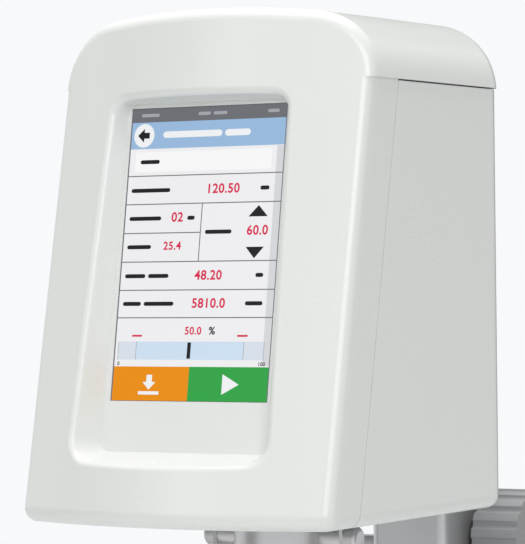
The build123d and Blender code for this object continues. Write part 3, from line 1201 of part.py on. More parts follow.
# ---------------------------------------------------------------- column and base
seat_z = BASE_BOTTOM + BASE_THICKNESS / 3
with BuildPart() as column:
    with BuildSketch(flat(seat_z)):
        with Locations(column_spot):
            Circle(COLUMN_RADIUS)
    extrude(amount=COLUMN_TOP - seat_z)
    with BuildSketch(flat(RACK_BOTTOM)):
        with Locations((0, RACK_BACK_Y - SPINDLE_Y + COLUMN_RADIUS)):
            Rectangle(RACK_WIDTH + 2 * RUNNING_GAP, 2 * COLUMN_RADIUS)
    extrude(amount=COLUMN_TOP - RACK_BOTTOM, mode=Mode.SUBTRACT)
    with BuildSketch(facing_front(COLUMN_Y - COLUMN_RADIUS / 2)):
        with Locations(*RACK_SCREW_SPOTS):
            Circle(COVER_SCREW_HEAD_RADIUS + SCREW_GAP)
    extrude(amount=COLUMN_RADIUS, mode=Mode.SUBTRACT)
    with BuildSketch(facing_front(COLUMN_Y - COLUMN_RADIUS / 2)):
        with Locations(*RACK_SCREW_SPOTS):
            Circle(COVER_SCREW_RADIUS + SCREW_GAP)
    extrude(amount=-COLUMN_RADIUS, mode=Mode.SUBTRACT)
    with BuildSketch(flat(seat_z)):
        with Locations(column_spot):
            Circle(COLUMN_BOLT_RADIUS)
    extrude(amount=COLUMN_BOLT_LENGTH, mode=Mode.SUBTRACT)
    with BuildSketch(flat(COLUMN_TOP)):
        with Locations(column_spot):
            Circle(CAP_SPIGOT_RADIUS + RUNNING_GAP)
    extrude(amount=-2 * CAP_HEIGHT, mode=Mode.SUBTRACT)
save(column, "column")

with BuildPart() as rack:
    teeth = []
    for step in range(-TEETH_BELOW, TEETH_ABOVE + 1):
        gap_z = PINION_Z + step * RACK_PITCH
        rise = math.tan(math.radians(PRESSURE_ANGLE))
        half_gap = RACK_PITCH / 4 + RACK_BACKLASH / 4
        for side in (-1, 1):
            tip = (PITCH_LINE_Y + RACK_MODULE, gap_z + side * (half_gap + RACK_MODULE * rise))
            root = (PITCH_LINE_Y - 1.25 * RACK_MODULE, gap_z + side * (half_gap - 1.25 * RACK_MODULE * rise))
            teeth += [tip, root] if side < 0 else [root, tip]
    with BuildSketch(facing_right(-RACK_WIDTH / 2, 0, 0)):
        Polygon(
            (RACK_BACK_Y, RACK_BOTTOM),
            (PITCH_LINE_Y + RACK_MODULE, RACK_BOTTOM),
            *teeth,
            (PITCH_LINE_Y + RACK_MODULE, RACK_TOP),
            (RACK_BACK_Y, RACK_TOP),
            align=None,
        )
    extrude(amount=RACK_WIDTH)
    with BuildSketch(facing_back(RACK_BACK_Y)):
        with Locations(*RACK_SCREW_SPOTS):
            Circle(COVER_SCREW_RADIUS)
    extrude(amount=RACK_DEPTH / 2, mode=Mode.SUBTRACT)
save(rack, "rack")

rack_screws = screw(
    facing_front(COLUMN_Y - COLUMN_RADIUS / 2),
    RACK_SCREW_SPOTS,
    COVER_SCREW_HEAD_RADIUS, COVER_SCREW_HEAD_LENGTH, COVER_SCREW_RADIUS - RUNNING_GAP,
    RACK_BACK_Y + RACK_DEPTH / 2 - COLUMN_Y + COLUMN_RADIUS / 2,
)
save(rack_screws, "rack_screws")

with BuildPart() as column_cap:
    with BuildSketch(flat(COLUMN_TOP)):
        with Locations(column_spot):
            Circle(COLUMN_RADIUS + CAP_OVERHANG)
    extrude(amount=CAP_HEIGHT)
    fillet(column_cap.faces().sort_by(Axis.Z)[-1].edges(), CAP_EDGE_RADIUS)
    with BuildSketch(flat(COLUMN_TOP)):
        with Locations(column_spot):
            Circle(CAP_SPIGOT_RADIUS)
    extrude(amount=-CAP_HEIGHT)
save(column_cap, "column_cap")

inner_x = BASE_HALF_WIDTH - LEG_WIDTH
base_outline = [
    (-BASE_HALF_WIDTH, BASE_FRONT), (-inner_x, BASE_FRONT), (-inner_x, BRIDGE_FRONT),
    (inner_x, BRIDGE_FRONT), (inner_x, BASE_FRONT), (BASE_HALF_WIDTH, BASE_FRONT),
    (BASE_HALF_WIDTH, SHOULDER_Y), (REAR_HALF_WIDTH, BASE_REAR),
    (-REAR_HALF_WIDTH, BASE_REAR), (-BASE_HALF_WIDTH, SHOULDER_Y),
]
with BuildPart() as base:
    with BuildSketch(Plane.XY.offset(BASE_BOTTOM)) as plan:
        Polygon(*base_outline, align=None)
        fillet(plan.vertices().filter_by(lambda v: abs(v.Y - BASE_FRONT) < 1), LEG_END_RADIUS)
        fillet(plan.vertices().filter_by(lambda v: abs(v.Y - BRIDGE_FRONT) < 1), LEG_ROOT_RADIUS)
        fillet(plan.vertices().filter_by(lambda v: abs(v.Y - SHOULDER_Y) < 1), BASE_SHOULDER_RADIUS)
        fillet(plan.vertices().filter_by(lambda v: abs(v.Y - BASE_REAR) < 1), BASE_REAR_RADIUS)
    extrude(amount=BASE_THICKNESS)
    fillet(base.faces().sort_by(Axis.Z)[-1].edges(), BASE_EDGE_RADIUS)
    with BuildSketch(flat(BASE_TOP)):
        with Locations(column_spot):
            Circle(BOSS_RADIUS)
    extrude(amount=BOSS_HEIGHT, taper=BOSS_TAPER)
    fillet(base.faces().sort_by(Axis.Z)[-1].edges(), BOSS_EDGE_RADIUS)
    with BuildSketch(flat(seat_z)):
        with Locations(column_spot):
            Circle(COLUMN_RADIUS + RUNNING_GAP)
    extrude(amount=BASE_THICKNESS + BOSS_HEIGHT, mode=Mode.SUBTRACT)
    with BuildSketch(flat(BASE_BOTTOM)):
        with Locations(column_spot):
            Circle(COLUMN_BOLT_RADIUS + SCREW_GAP)
    extrude(amount=BASE_THICKNESS, mode=Mode.SUBTRACT)
    with BuildSketch(Plane.XY.offset(BASE_BOTTOM)):
        with Locations(*FEET.values()):
            Circle(FOOT_STEM_RADIUS + RUNNING_GAP)
    extrude(amount=FOOT_STEM_TOP + FOOT_TRAVEL + 1 - BASE_BOTTOM, mode=Mode.SUBTRACT)
    with BuildSketch(Plane.XY.offset(BASE_TOP)):
        with Locations((0, LEVEL_Y)):
            Circle(LEVEL_RADIUS + RUNNING_GAP)
    extrude(amount=-LEVEL_HEIGHT, mode=Mode.SUBTRACT)
save(base, "base")

with BuildPart() as column_bolt:
    with BuildSketch(flat(BASE_BOTTOM)):
        with Locations(column_spot):
            RegularPolygon(COLUMN_BOLT_RADIUS * 1.7, 6)
    extrude(amount=-COLUMN_BOLT_RADIUS)
    with BuildSketch(flat(BASE_BOTTOM)):
        with Locations(column_spot):
            Circle(COLUMN_BOLT_RADIUS - RUNNING_GAP)
    extrude(amount=seat_z + COLUMN_BOLT_LENGTH - BASE_BOTTOM - 1)
save(column_bolt, "column_bolt")

with BuildPart() as level_ring:
    with BuildSketch(Plane.XY.offset(BASE_TOP - LEVEL_HEIGHT)):
        with Locations((0, LEVEL_Y)):
            Circle(LEVEL_RADIUS)
    extrude(amount=LEVEL_HEIGHT + LEVEL_PROUD)
    chamfer(level_ring.faces().sort_by(Axis.Z)[-1].edges(), LEVEL_CHAMFER)
    with BuildSketch(Plane.XY.offset(BASE_TOP + LEVEL_PROUD)):
        with Locations((0, LEVEL_Y)):
            Circle(LEVEL_RADIUS - LEVEL_WALL)
    extrude(amount=-LEVEL_HEIGHT, mode=Mode.SUBTRACT)
save(level_ring, "level_ring")

with BuildPart() as level_vial:
    with BuildSketch(Plane.XY.offset(BASE_TOP + LEVEL_PROUD - LEVEL_HEIGHT)):
        with Locations((0, LEVEL_Y)):
            Circle(LEVEL_RADIUS - LEVEL_WALL - RUNNING_GAP)
    extrude(amount=LEVEL_HEIGHT - VIAL_SUNK)
save(level_vial, "level_vial")

stem_bottom = FOOT_PAD_HEIGHT + FOOT_NECK_HEIGHT + FOOT_DISC_HEIGHT
for name, (foot_x, foot_y) in FEET.items():
    with BuildPart() as foot_pad:
        with BuildSketch(Plane.XY):
            with Locations((foot_x, foot_y)):
                Circle(FOOT_PAD_RADIUS)
        extrude(amount=FOOT_PAD_HEIGHT)
        chamfer(foot_pad.faces().sort_by(Axis.Z)[0].edges(), 0.8)
    save(foot_pad, f"{name}_pad")
    with BuildPart() as levelling_screw:
        with BuildSketch(Plane.XY.offset(FOOT_PAD_HEIGHT)):
            with Locations((foot_x, foot_y)):
                Circle(FOOT_PAD_RADIUS - FOOT_NECK_INSET)
        extrude(amount=FOOT_NECK_HEIGHT, taper=FOOT_NECK_TAPER)
        with BuildSketch(Plane.XY.offset(FOOT_PAD_HEIGHT + FOOT_NECK_HEIGHT)):
            with Locations((foot_x, foot_y)):
                Circle(FOOT_DISC_RADIUS)
                with PolarLocations(FOOT_DISC_RADIUS + FOOT_NOTCH_OUT, FOOT_DISC_NOTCHES):
                    Circle(FOOT_NOTCH_RADIUS, mode=Mode.SUBTRACT)
        extrude(amount=FOOT_DISC_HEIGHT)
        with BuildSketch(Plane.XY.offset(stem_bottom)):
            with Locations((foot_x, foot_y)):
                Circle(FOOT_STEM_RADIUS)
        extrude(amount=FOOT_STEM_TOP - stem_bottom)
    save(levelling_screw, f"{name}_levelling_screw")
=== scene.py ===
import json
import logging
import math
from dataclasses import dataclass, field
from enum import Enum

import bmesh
import bpy
from mathutils import Matrix, Vector


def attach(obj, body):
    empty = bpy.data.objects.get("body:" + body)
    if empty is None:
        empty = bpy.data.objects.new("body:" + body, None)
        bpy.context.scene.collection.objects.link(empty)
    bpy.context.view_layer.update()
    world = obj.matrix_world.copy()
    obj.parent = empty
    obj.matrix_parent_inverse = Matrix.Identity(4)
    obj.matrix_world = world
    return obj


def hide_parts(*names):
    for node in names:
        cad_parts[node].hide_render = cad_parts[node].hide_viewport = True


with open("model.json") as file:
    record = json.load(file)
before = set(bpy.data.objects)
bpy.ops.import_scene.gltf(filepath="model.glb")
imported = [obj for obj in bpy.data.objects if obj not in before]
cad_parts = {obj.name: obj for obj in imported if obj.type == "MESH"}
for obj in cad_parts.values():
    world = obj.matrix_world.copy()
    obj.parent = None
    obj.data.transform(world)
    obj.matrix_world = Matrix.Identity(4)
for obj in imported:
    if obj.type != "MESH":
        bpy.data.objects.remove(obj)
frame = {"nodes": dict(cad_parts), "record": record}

LOG = logging.getLogger("viscometer")
MM = 0.001
PER_METRE = 1000.0        # millimetres in a metre
TURNED_CREASE = 32.0      # degrees, over which an edge of a turned piece is sharp
SCREW_CREASE = 35.0
BEVEL_STEPS = 2
BEVEL_PROFILE = 0.6
Point = tuple[float, float, float]
Color = tuple[float, float, float]
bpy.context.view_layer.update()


class Body(Enum):
    """Rigid bodies of the instrument that added pieces ride on."""

    STAND = "stand"
    HEAD = "head"
    MEASURING = "measuring"
    ROCKER = "rocker"


class Lay(Enum):
    """Direction that the grain of a finish runs in, as its stretch along X, Y and Z."""

    EVEN = (1.0, 1.0, 1.0)
    UPRIGHT = (1.0, 1.0, 0.03)
    TURNED = (0.04, 0.04, 1.0)
    ACROSS = (0.05, 1.0, 1.0)


def shade(red: int, green: int, blue: int) -> Color:
    """Turn a display colour into the linear colour that shaders use.

    Args:
        red: Red from 0 to 255.
        green: Green from 0 to 255.
        blue: Blue from 0 to 255.

    Returns:
        The linear colour.
    """
    def linear(value: int) -> float:
        """Linear value of one channel."""
        part = value / 255
        return part / 12.92 if part <= 0.04045 else ((part + 0.055) / 1.055) ** 2.4

    return linear(red), linear(green), linear(blue)


# ------------------------------------------------------------------ shader groups
class Shading:
    """A shader tree, with short ways to add nodes to it."""

    def __init__(self, tree: bpy.types.NodeTree) -> None:
        """Take the tree to work on.

        Args:
            tree: The tree of a group, a material or a world.
        """
        self.tree = tree

    def feed(self, node: bpy.types.Node, feeds: dict[str | int, object]) -> None:
        """Give inputs of a node a value or a link.

        Args:
            node: The node.
            feeds: What each input gets, by its name or number: a value, or the socket to link.
        """
        for label, value in feeds.items():
            if isinstance(value, bpy.types.NodeSocket):
                self.tree.links.new(value, node.inputs[label])
            else:
                node.inputs[label].default_value = value

    def node(self, kind: str, feeds: dict[str | int, object], **settings: object) -> bpy.types.Node:
        """Add a node.

        Args:
            kind: Its type, without the ShaderNode that all begin with.
            feeds: What its inputs get, as in feed().
            settings: Its other properties.

        Returns:
            The node.
        """
        made = self.tree.nodes.new(f"ShaderNode{kind}")
        for name, value in settings.items():
            setattr(made, name, value)
        self.feed(made, feeds)
        return made

    def place(self) -> bpy.types.NodeSocket:
        """The object's own coordinates."""
        return self.node("TexCoord", {}).outputs["Object"]

    def math(self, operation: str, *terms: object) -> bpy.types.NodeSocket:
        """Result of a Math node on values or sockets."""
        return self.node("Math", dict(enumerate(terms)), operation=operation).outputs[0]

    def noise(self, vector: bpy.types.NodeSocket, scale: object, detail: float = 2.0,
              distortion: float = 0.0) -> bpy.types.NodeSocket:
        """Add a noise texture.

        Args:
            vector: The coordinates that it reads.
            scale: Its scale, a value or a socket.
            detail: How many finer layers it has.
            distortion: How far it is warped.

        Returns:
            Its value, around 0.5.
        """
        feeds = {"Vector": vector, "Scale": scale, "Detail": detail, "Distortion": distortion}
        return self.node("TexNoise", feeds).outputs["Fac"]

    def blend(self, factor: bpy.types.NodeSocket, low: object, high: object) -> bpy.types.NodeSocket:
        """Mix two colours.

        Args:
            factor: How much of the second there is.
            low: The first, a colour or a socket.
            high: The second.

        Returns:
            The mixed colour.
        """
        ends = {label: end if isinstance(end, bpy.types.NodeSocket) else (*end, 1.0)
                for label, end in (("A", low), ("B", high))}
        return self.node("Mix", {"Factor": factor, **ends}, data_type="RGBA").outputs["Result"]


def new_group(name: str, inputs: dict[str, float], outputs: dict[str, str]) -> bpy.types.NodeTree:
    """Make an empty shader group with its sockets.

    Args:
        name: Name of the group.
        inputs: Default value of each float input; a None default makes a vector input.
        outputs: Socket type of each output.

    Returns:
        The group, with a Group Input and a Group Output node in it.
    """
    group = bpy.data.node_groups.new(name, "ShaderNodeTree")
    for label, value in inputs.items():
        kind = "NodeSocketFloat" if isinstance(value, float) else "NodeSocketVector"
        socket = group.interface.new_socket(label, in_out="INPUT", socket_type=kind)
        if isinstance(value, float):
            socket.default_value = value
    for label, kind in outputs.items():
        group.interface.new_socket(label, in_out="OUTPUT", socket_type=kind)
    group.nodes.new("NodeGroupInput")
    group.nodes.new("NodeGroupOutput")
    return group


def surface_group() -> bpy.types.NodeTree:
    """Grain, blotches and fine scratches of a surface, in the object's own coordinates.

    Returns:
        A group with Height and Tone outputs, both around 0.5.
    """
    group = new_group(
        "surface_texture",
        {"Grain Size": 0.5, "Blotch Size": 30.0, "Stretch": None, "Scratches": 0.0},
        {"Height": "NodeSocketFloat", "Tone": "NodeSocketFloat"},
    )
    shading = Shading(group)
    given = group.nodes["Group Input"].outputs
    place = shading.place()
    stretched = shading.node("VectorMath", {0: place, 1: given["Stretch"]}, operation="MULTIPLY").outputs[0]
    grain = shading.noise(stretched, shading.math("DIVIDE", PER_METRE, given["Grain Size"]), 3.0)
    blotch = shading.noise(place, shading.math("DIVIDE", PER_METRE, given["Blotch Size"]))
    marks = shading.noise(stretched, 90.0, 6.0, 1.5)
    thin = shading.node("MapRange", {"Value": marks, "From Min": 0.60, "From Max": 0.72}).outputs["Result"]
    scratch = shading.math("MULTIPLY", thin, given["Scratches"])
    shading.feed(group.nodes["Group Output"], {
        "Height": shading.math("SUBTRACT", grain, scratch),
        "Tone": shading.math("MULTIPLY_ADD", grain, 0.4, shading.math("MULTIPLY", blotch, 0.6)),
    })
    return group


def wear_group() -> bpy.types.NodeTree:
    """Worn edges: where a rounded normal leaves the true one, broken up by noise.

    Returns:
        A group with an Edge output from 0 to 1.
    """
    group = new_group("edge_wear", {"Width": 0.0006, "Break Up": 0.5}, {"Edge": "NodeSocketFloat"})
    shading = Shading(group)
    given = group.nodes["Group Input"].outputs
    softened = shading.node("Bevel", {"Radius": given["Width"]}, samples=4).outputs[0]
    true = shading.node("NewGeometry", {}).outputs["Normal"]
    match = shading.node("VectorMath", {0: softened, 1: true}, operation="DOT_PRODUCT").outputs["Value"]
    band = shading.node("MapRange", {"Value": match, "From Min": 0.995, "From Max": 0.90}).outputs["Result"]
    broken = shading.math("GREATER_THAN", shading.noise(shading.place(), 160.0, 4.0), given["Break Up"])
    shading.feed(group.nodes["Group Output"], {"Edge": shading.math("MULTIPLY", band, broken)})
    return group


def backlight_group() -> bpy.types.NodeTree:
    """Unevenness of a display's backlight: brighter rows of pixels and a slow drift.

    Returns:
        A group with a Level output around 1.
    """
    group = new_group("backlight", {"Pixel Pitch": 0.35, "Unevenness": 0.06}, {"Level": "NodeSocketFloat"})
    shading = Shading(group)
    given = group.nodes["Group Input"].outputs
    place = shading.place()
    density = shading.math("DIVIDE", PER_METRE, given["Pixel Pitch"])
    rows = shading.node("TexWave", {"Vector": place, "Scale": density, "Distortion": 0.0},
                        bands_direction="Z").outputs["Fac"]
    drift = shading.noise(place, 14.0)
    mixed = shading.node("Mix", {"Factor": 0.25, "A": drift, "B": rows}).outputs["Result"]
    low = shading.math("SUBTRACT", 1.0, given["Unevenness"])
    level = shading.node("MapRange", {"Value": mixed, "To Min": low, "To Max": 1.0}).outputs["Result"]
    shading.feed(group.nodes["Group Output"], {"Level": level})
    return group


GROUPS: dict[str, bpy.types.NodeTree] = {}


def shared_group(name: str) -> bpy.types.NodeTree:
    """Group of that name, built the first time it is asked for.

    Args:
        name: Surface, wear or backlight.

    Returns:
        The group.
    """
    makers = {"surface": surface_group, "wear": wear_group, "backlight": backlight_group}
    if name not in GROUPS:
        GROUPS[name] = makers[name]()
    return GROUPS[name]


# ------------------------------------------------------------------ finishes
@dataclass(frozen=True)
class Coloured:
    """Something with a colour and a material, which is built the first time it is asked for."""

    name: str
    color: Color

    def wire(self, shading: Shading, shader: bpy.types.Node) -> None:
        """Set the material's shader up, in each kind of finish."""
        raise NotImplementedError

    def material(self) -> bpy.types.Material:
        """Build the material, or find it if it has been built.

        Returns:
            The material.
        """
        found = bpy.data.materials.get(self.name)
        if found:
            return found
        material = bpy.data.materials.new(self.name)
        material.use_nodes = True
        self.wire(Shading(material.node_tree), material.node_tree.nodes["Principled BSDF"])
        return material


@dataclass(frozen=True)
class Finish(Coloured):
    """A surface: its colour, gloss, grain and wear, in millimetres where it has a size."""

    roughness: float
    metallic: float = 0.0
    spread: float = 0.08
    tone: float = 0.04
    grain: float = 0.6
    blotch: float = 30.0
    bump: float = 0.02
    lay: Lay = Lay.EVEN
    scratches: float = 0.0
    wear: float = 0.0
    wear_color: Color = (0.8, 0.8, 0.8)
    coat: float = 0.0

    def wire(self, shading: Shading, shader: bpy.types.Node) -> None:
        """Wire grain, wear and bump to the shader.

        Args:
            shading: The material's tree.
            shader: Its main shader.
        """
        texture = shading.node("Group", {
            "Grain Size": self.grain, "Blotch Size": self.blotch, "Stretch": self.lay.value,
            "Scratches": self.scratches,
        }, node_tree=shared_group("surface")).outputs
        base = shading.blend(texture["Tone"], [c * (1 - self.tone) for c in self.color],
                             [min(c * (1 + self.tone), 1) for c in self.color])
        gloss = shading.node("MapRange", {
            "Value": texture["Tone"],
            "To Min": max(self.roughness - self.spread, 0.02),
            "To Max": min(self.roughness + self.spread, 1.0),
        })
        if self.wear:
            worn = shading.node("Group", {"Break Up": 1 - self.wear}, node_tree=shared_group("wear"))
            base = shading.blend(worn.outputs["Edge"], base, self.wear_color)
        bump = shading.node("Bump", {"Distance": self.bump * MM, "Height": texture["Height"]})
        shading.feed(shader, {
            "Base Color": base, "Metallic": self.metallic, "Coat Weight": self.coat,
            "Roughness": gloss.outputs["Result"], "Normal": bump.outputs["Normal"],
        })


@dataclass(frozen=True)
class LitFinish(Coloured):
    """A patch of a lit display: its colour shines, under a glossy cover."""

    strength: float = 0.92
    unlit: float = 0.04       # share of the colour that it has without its light

    def wire(self, shading: Shading, shader: bpy.types.Node) -> None:
        """Wire the backlight to the shader.

        Args:
            shading: The material's tree.
            shader: Its main shader.
        """
        light = shading.node("Group", {}, node_tree=shared_group("backlight"))
        shading.feed(shader, {
            "Base Color": tuple(c * self.unlit for c in self.color) + (1.0,),
            "Roughness": 0.30,
            "Specular IOR Level": 0.15,
            "Emission Strength": self.strength,
            "Emission Color": shading.blend(light.outputs["Level"], (0.0, 0.0, 0.0), self.color),
        })


class Finishes:
    """The finishes of the instrument, by what they are on."""

    COVER = Finish("moulded_white", shade(237, 239, 236), 0.26, grain=0.45, bump=0.004, tone=0.012,
                   spread=0.05, blotch=60.0)
    PLATE = Finish("plate_grey", (0.45, 0.46, 0.47), 0.5, metallic=0.6, grain=0.5, bump=0.02)
    GLASS = Finish("screen_border", (0.05, 0.055, 0.06), 0.08, grain=2.0, bump=0.001, spread=0.03, coat=0.3)
    RUBBER = Finish("moulded_rubber", (0.035, 0.035, 0.037), 0.75, grain=0.4, bump=0.05, tone=0.2)
    DARK = Finish("dark_moulding", (0.035, 0.036, 0.04), 0.45, grain=0.35, bump=0.03, tone=0.12, wear=0.25,
                  wear_color=(0.10, 0.10, 0.11))
    RED = Finish("rocker_red", (0.45, 0.03, 0.025), 0.25, grain=0.8, bump=0.004, coat=0.4)
    SHEET = Finish("plated_sheet", (0.55, 0.56, 0.58), 0.32, metallic=1.0, lay=Lay.ACROSS, bump=0.01)
    PLATED = Finish("plated_shell", (0.72, 0.72, 0.72), 0.18, metallic=1.0, bump=0.004)
    TURNED = Finish("turned_steel", (0.46, 0.46, 0.465), 0.22, metallic=1.0, grain=0.35, lay=Lay.TURNED,
                    bump=0.008, tone=0.08, scratches=0.15)
    STRIP = Finish("brushed_strip", (0.55, 0.55, 0.545), 0.28, metallic=1.0, grain=0.25, lay=Lay.UPRIGHT,
                   bump=0.006, tone=0.08, scratches=0.2)
    SCREW = Finish("screw_steel", (0.42, 0.42, 0.42), 0.22, metallic=1.0, grain=0.5, bump=0.01, wear=0.5)
    CHROME = Finish("ground_chrome", (0.66, 0.66, 0.67), 0.10, metallic=1.0, grain=0.3, lay=Lay.TURNED,
                    bump=0.002, tone=0.03, spread=0.05, scratches=0.1)
    ALUMINIUM = Finish("anodised_aluminium", (0.64, 0.645, 0.65), 0.38, metallic=0.55, grain=0.3, bump=0.012,
                       tone=0.05, wear=0.35, wear_color=(0.75, 0.75, 0.76))
    BRASS = Finish("machined_brass", (0.70, 0.50, 0.20), 0.25, metallic=1.0, grain=0.4, lay=Lay.TURNED,
                   bump=0.008, tone=0.1)
    SPRING = Finish("rolled_bronze", (0.55, 0.33, 0.17), 0.3, metallic=1.0, grain=0.3, bump=0.004)
    JEWEL = Finish("ruby", (0.40, 0.02, 0.06), 0.1, grain=2.0, bump=0.001, coat=0.5)
    BOARD = Finish("circuit_board", (0.02, 0.14, 0.06), 0.35, grain=1.5, bump=0.02, tone=0.3, coat=0.3)
    BUSH = Finish("bush_polymer", (0.05, 0.05, 0.055), 0.5, grain=0.5, bump=0.02)
    KNOB = Finish("knob_grey", (0.30, 0.305, 0.31), 0.42, grain=0.4, bump=0.02, tone=0.08, wear=0.35,
                  wear_color=(0.34, 0.34, 0.35))
    BASE = Finish("base_paint", (0.50, 0.51, 0.515), 0.5, grain=1.1, bump=0.10, tone=0.05, spread=0.1,
                  wear=0.15, wear_color=(0.30, 0.30, 0.31))
    VIAL = Finish("vial_fluid", (0.42, 0.62, 0.06), 0.08, grain=2.0, bump=0.001, coat=1.0)
    GOLD = Finish("gold_plate", (0.80, 0.58, 0.22), 0.2, metallic=1.0, grain=0.3, bump=0.002)
    MARK = Finish("white_mark", (0.75, 0.75, 0.75), 0.5, grain=0.3, bump=0.01, tone=0.05)
    CARD = Finish("studio_card", (0.03, 0.03, 0.032), 0.9, grain=3.0, bump=0.0, tone=0.02)
    FLOOR = Finish("studio_floor_paint", (0.86, 0.865, 0.87), 0.6, grain=3.0, bump=0.0, tone=0.005)


class Lit:
    """Colours of the display."""

    STATUS = LitFinish("display_status", shade(112, 114, 120))
    TITLE = LitFinish("display_title", shade(157, 191, 227))
    PAGE = LitFinish("display_page", shade(245, 245, 247))
    FIELD = LitFinish("display_field", shade(254, 254, 255))
    # painted shadow: a greyer colour for the strip where the recess wall shades the right of the screen
    RECESS_SHADOW = LitFinish("display_painted_recess_shadow", shade(219, 220, 224))
    LINE = LitFinish("display_line", shade(120, 122, 128))
    INK = LitFinish("display_ink", shade(30, 31, 36))
    PALE_INK = LitFinish("display_pale_ink", shade(168, 170, 176))
    VALUE = LitFinish("display_value", shade(222, 42, 84))
    GAUGE = LitFinish("display_gauge", shade(210, 229, 247))
    GAUGE_END = LitFinish("display_gauge_end", shade(221, 229, 240))
    ORANGE = LitFinish("display_orange", shade(240, 146, 14))
    GREEN = LitFinish("display_green", shade(52, 168, 74))
    WHITE = LitFinish("display_white", shade(246, 248, 250))


# ------------------------------------------------------------------ mesh helpers
def finish_piece(obj: bpy.types.Object, body: Body) -> bpy.types.Object:
    """Hang a finished piece on its body and report it.

    Args:
        obj: The piece, with its place in its mesh.
        body: The body that carries it.

    Returns:
        The piece.
    """
    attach(obj, body.value)
    LOG.info("piece %s: %d faces on %s", obj.name, len(obj.data.polygons), body.value)
    return obj


def link_mesh(name: str, mesh: bpy.types.Mesh) -> bpy.types.Object:
    """Put a mesh into the scene as an object at the origin.

    Args:
        name: Name of the object.
        mesh: Its mesh.

    Returns:
        The object.
    """
    obj = bpy.data.objects.new(name, mesh)
    bpy.context.scene.collection.objects.link(obj)
    return obj


def evaluated_mesh(obj: bpy.types.Object) -> bpy.types.Mesh:
    """Plain mesh of an object's evaluated shape.

    Args:
        obj: The object.

    Returns:
        The mesh.
    """
    bpy.context.view_layer.update()
    graph = bpy.context.evaluated_depsgraph_get()
    return bpy.data.meshes.new_from_object(obj.evaluated_get(graph))


def bake_modifiers(obj: bpy.types.Object) -> bpy.types.Object:
    """Turn an object's evaluated shape into its plain mesh and drop its modifiers.

    Args:
        obj: The object.

    Returns:
        The same object.
    """
    mesh = evaluated_mesh(obj)
    obj.modifiers.clear()
    obj.data = mesh
    return obj


def frame_at(origin: Point, right: Point, up: Point) -> Matrix:
    """Matrix of a drawing plane.

    Args:
        origin: Its origin, in millimetres.
        right: Its X direction.
        up: Its Y direction.

    Returns:
        The matrix from plane millimetres to metres in the row frame.
    """
    x_axis = Vector(right).normalized()
    y_axis = Vector(up).normalized()
    z_axis = x_axis.cross(y_axis)
    turn = Matrix((x_axis, y_axis, z_axis)).transposed().to_4x4()
    return Matrix.Translation(Vector(origin) * MM) @ turn @ Matrix.Scale(MM, 4)


def settle(name: str, shape: bmesh.types.BMesh) -> bpy.types.Mesh:
    """Turn a shape into a mesh with outward normals, and free it.

    Args:
        name: Name of the mesh.
        shape: The shape.

    Returns:
        The mesh.
    """
    bmesh.ops.recalc_face_normals(shape, faces=shape.faces)
    mesh = bpy.data.meshes.new(name)
    shape.to_mesh(mesh)
    shape.free()
    return mesh


def ring_of(shape: bmesh.types.BMesh, radius: float, height: float, steps: int, hexed: bool = False
            ) -> list[bmesh.types.BMVert]:
    """Ring of vertices, round or as a hexagon.

    Args:
        shape: The shape that they go into.
        radius: Radius of the ring, out to the corners of a hexagon.
        height: Its height.
        steps: Vertices around it.
        hexed: Whether it is a hexagon.

    Returns:
        The vertices.
    """
    made = []
    for step in range(steps):
        angle = 2 * math.pi * step / steps
        reach = radius
        if hexed:
            within = (angle + math.pi / 6) % (math.pi / 3) - math.pi / 6
            reach = radius * math.cos(math.pi / 6) / math.cos(within)
        made.append(shape.verts.new((reach * math.cos(angle), reach * math.sin(angle), height)))
    return made


def skin(shape: bmesh.types.BMesh, rings: list[list[bmesh.types.BMVert]], steps: int) -> None:
    """Fill the sides between rings that follow each other with smooth faces.

    Args:
        shape: The shape.
        rings: The rings; one of a single vertex is a pole.
        steps: Vertices around the others.
    """
    for low, high in zip(rings, rings[1:]):
        for step in range(steps):
            after = (step + 1) % steps
            corners = [low[step % len(low)], low[after % len(low)],
                       high[after % len(high)], high[step % len(high)]]
            shape.faces.new(list(dict.fromkeys(corners)))
    for face in shape.faces:
        face.smooth = True


def outline_prism(name: str, outline: list[tuple[float, float]], depth: float, place: Matrix,
                  material: bpy.types.Material, bevel: float = 0.0) -> bpy.types.Object:
    """A closed prism over an outline, with its top edges softened.

    Args:
        name: Name of the piece.
        outline: Its corners in the drawing plane, in millimetres.
        depth: Its height out of the plane.
        place: Matrix of the plane.
        material: Its finish.
        bevel: Width of the softened edges, or 0.

    Returns:
        The piece.
    """
    shape = bmesh.new()
    floor = [shape.verts.new((x, y, 0.0)) for x, y in outline]
    base = shape.faces.new(floor)
    lifted = bmesh.ops.extrude_face_region(shape, geom=[base])
    top = [item for item in lifted["geom"] if isinstance(item, bmesh.types.BMVert)]
    bmesh.ops.translate(shape, verts=top, vec=(0.0, 0.0, depth))
    if bevel:
        rim = [e for e in shape.edges if all(abs(v.co.z - depth) < 1e-6 for v in e.verts)]
        bmesh.ops.bevel(shape, geom=rim, offset=bevel, segments=BEVEL_STEPS, affect="EDGES",
                        profile=BEVEL_PROFILE)
    mesh = settle(name, shape)
    mesh.transform(place)
    mesh.materials.append(material)
    return link_mesh(name, mesh)


def rounded(width: float, height: float, radius: float, center: tuple[float, float] = (0.0, 0.0),
            steps: int = 5) -> list[tuple[float, float]]:
    """Outline of a rectangle with round corners, counter-clockwise, in millimetres.

    Args:
        width: Its width.
        height: Its height.
        radius: Radius of its corners, which its sides limit.
        center: Its middle.
        steps: Facets of each corner.

    Returns:
        Its corners.
    """
    radius = min(radius, width / 2 - 1e-4, height / 2 - 1e-4)
    points = []
    for turn, (sx, sy) in enumerate(((1, 1), (-1, 1), (-1, -1), (1, -1))):
        for step in range(steps + 1):
            angle = math.pi / 2 * (turn + step / steps)
            points.append((center[0] + sx * (width / 2 - radius) + radius * math.cos(angle),
                           center[1] + sy * (height / 2 - radius) + radius * math.sin(angle)))
    return points


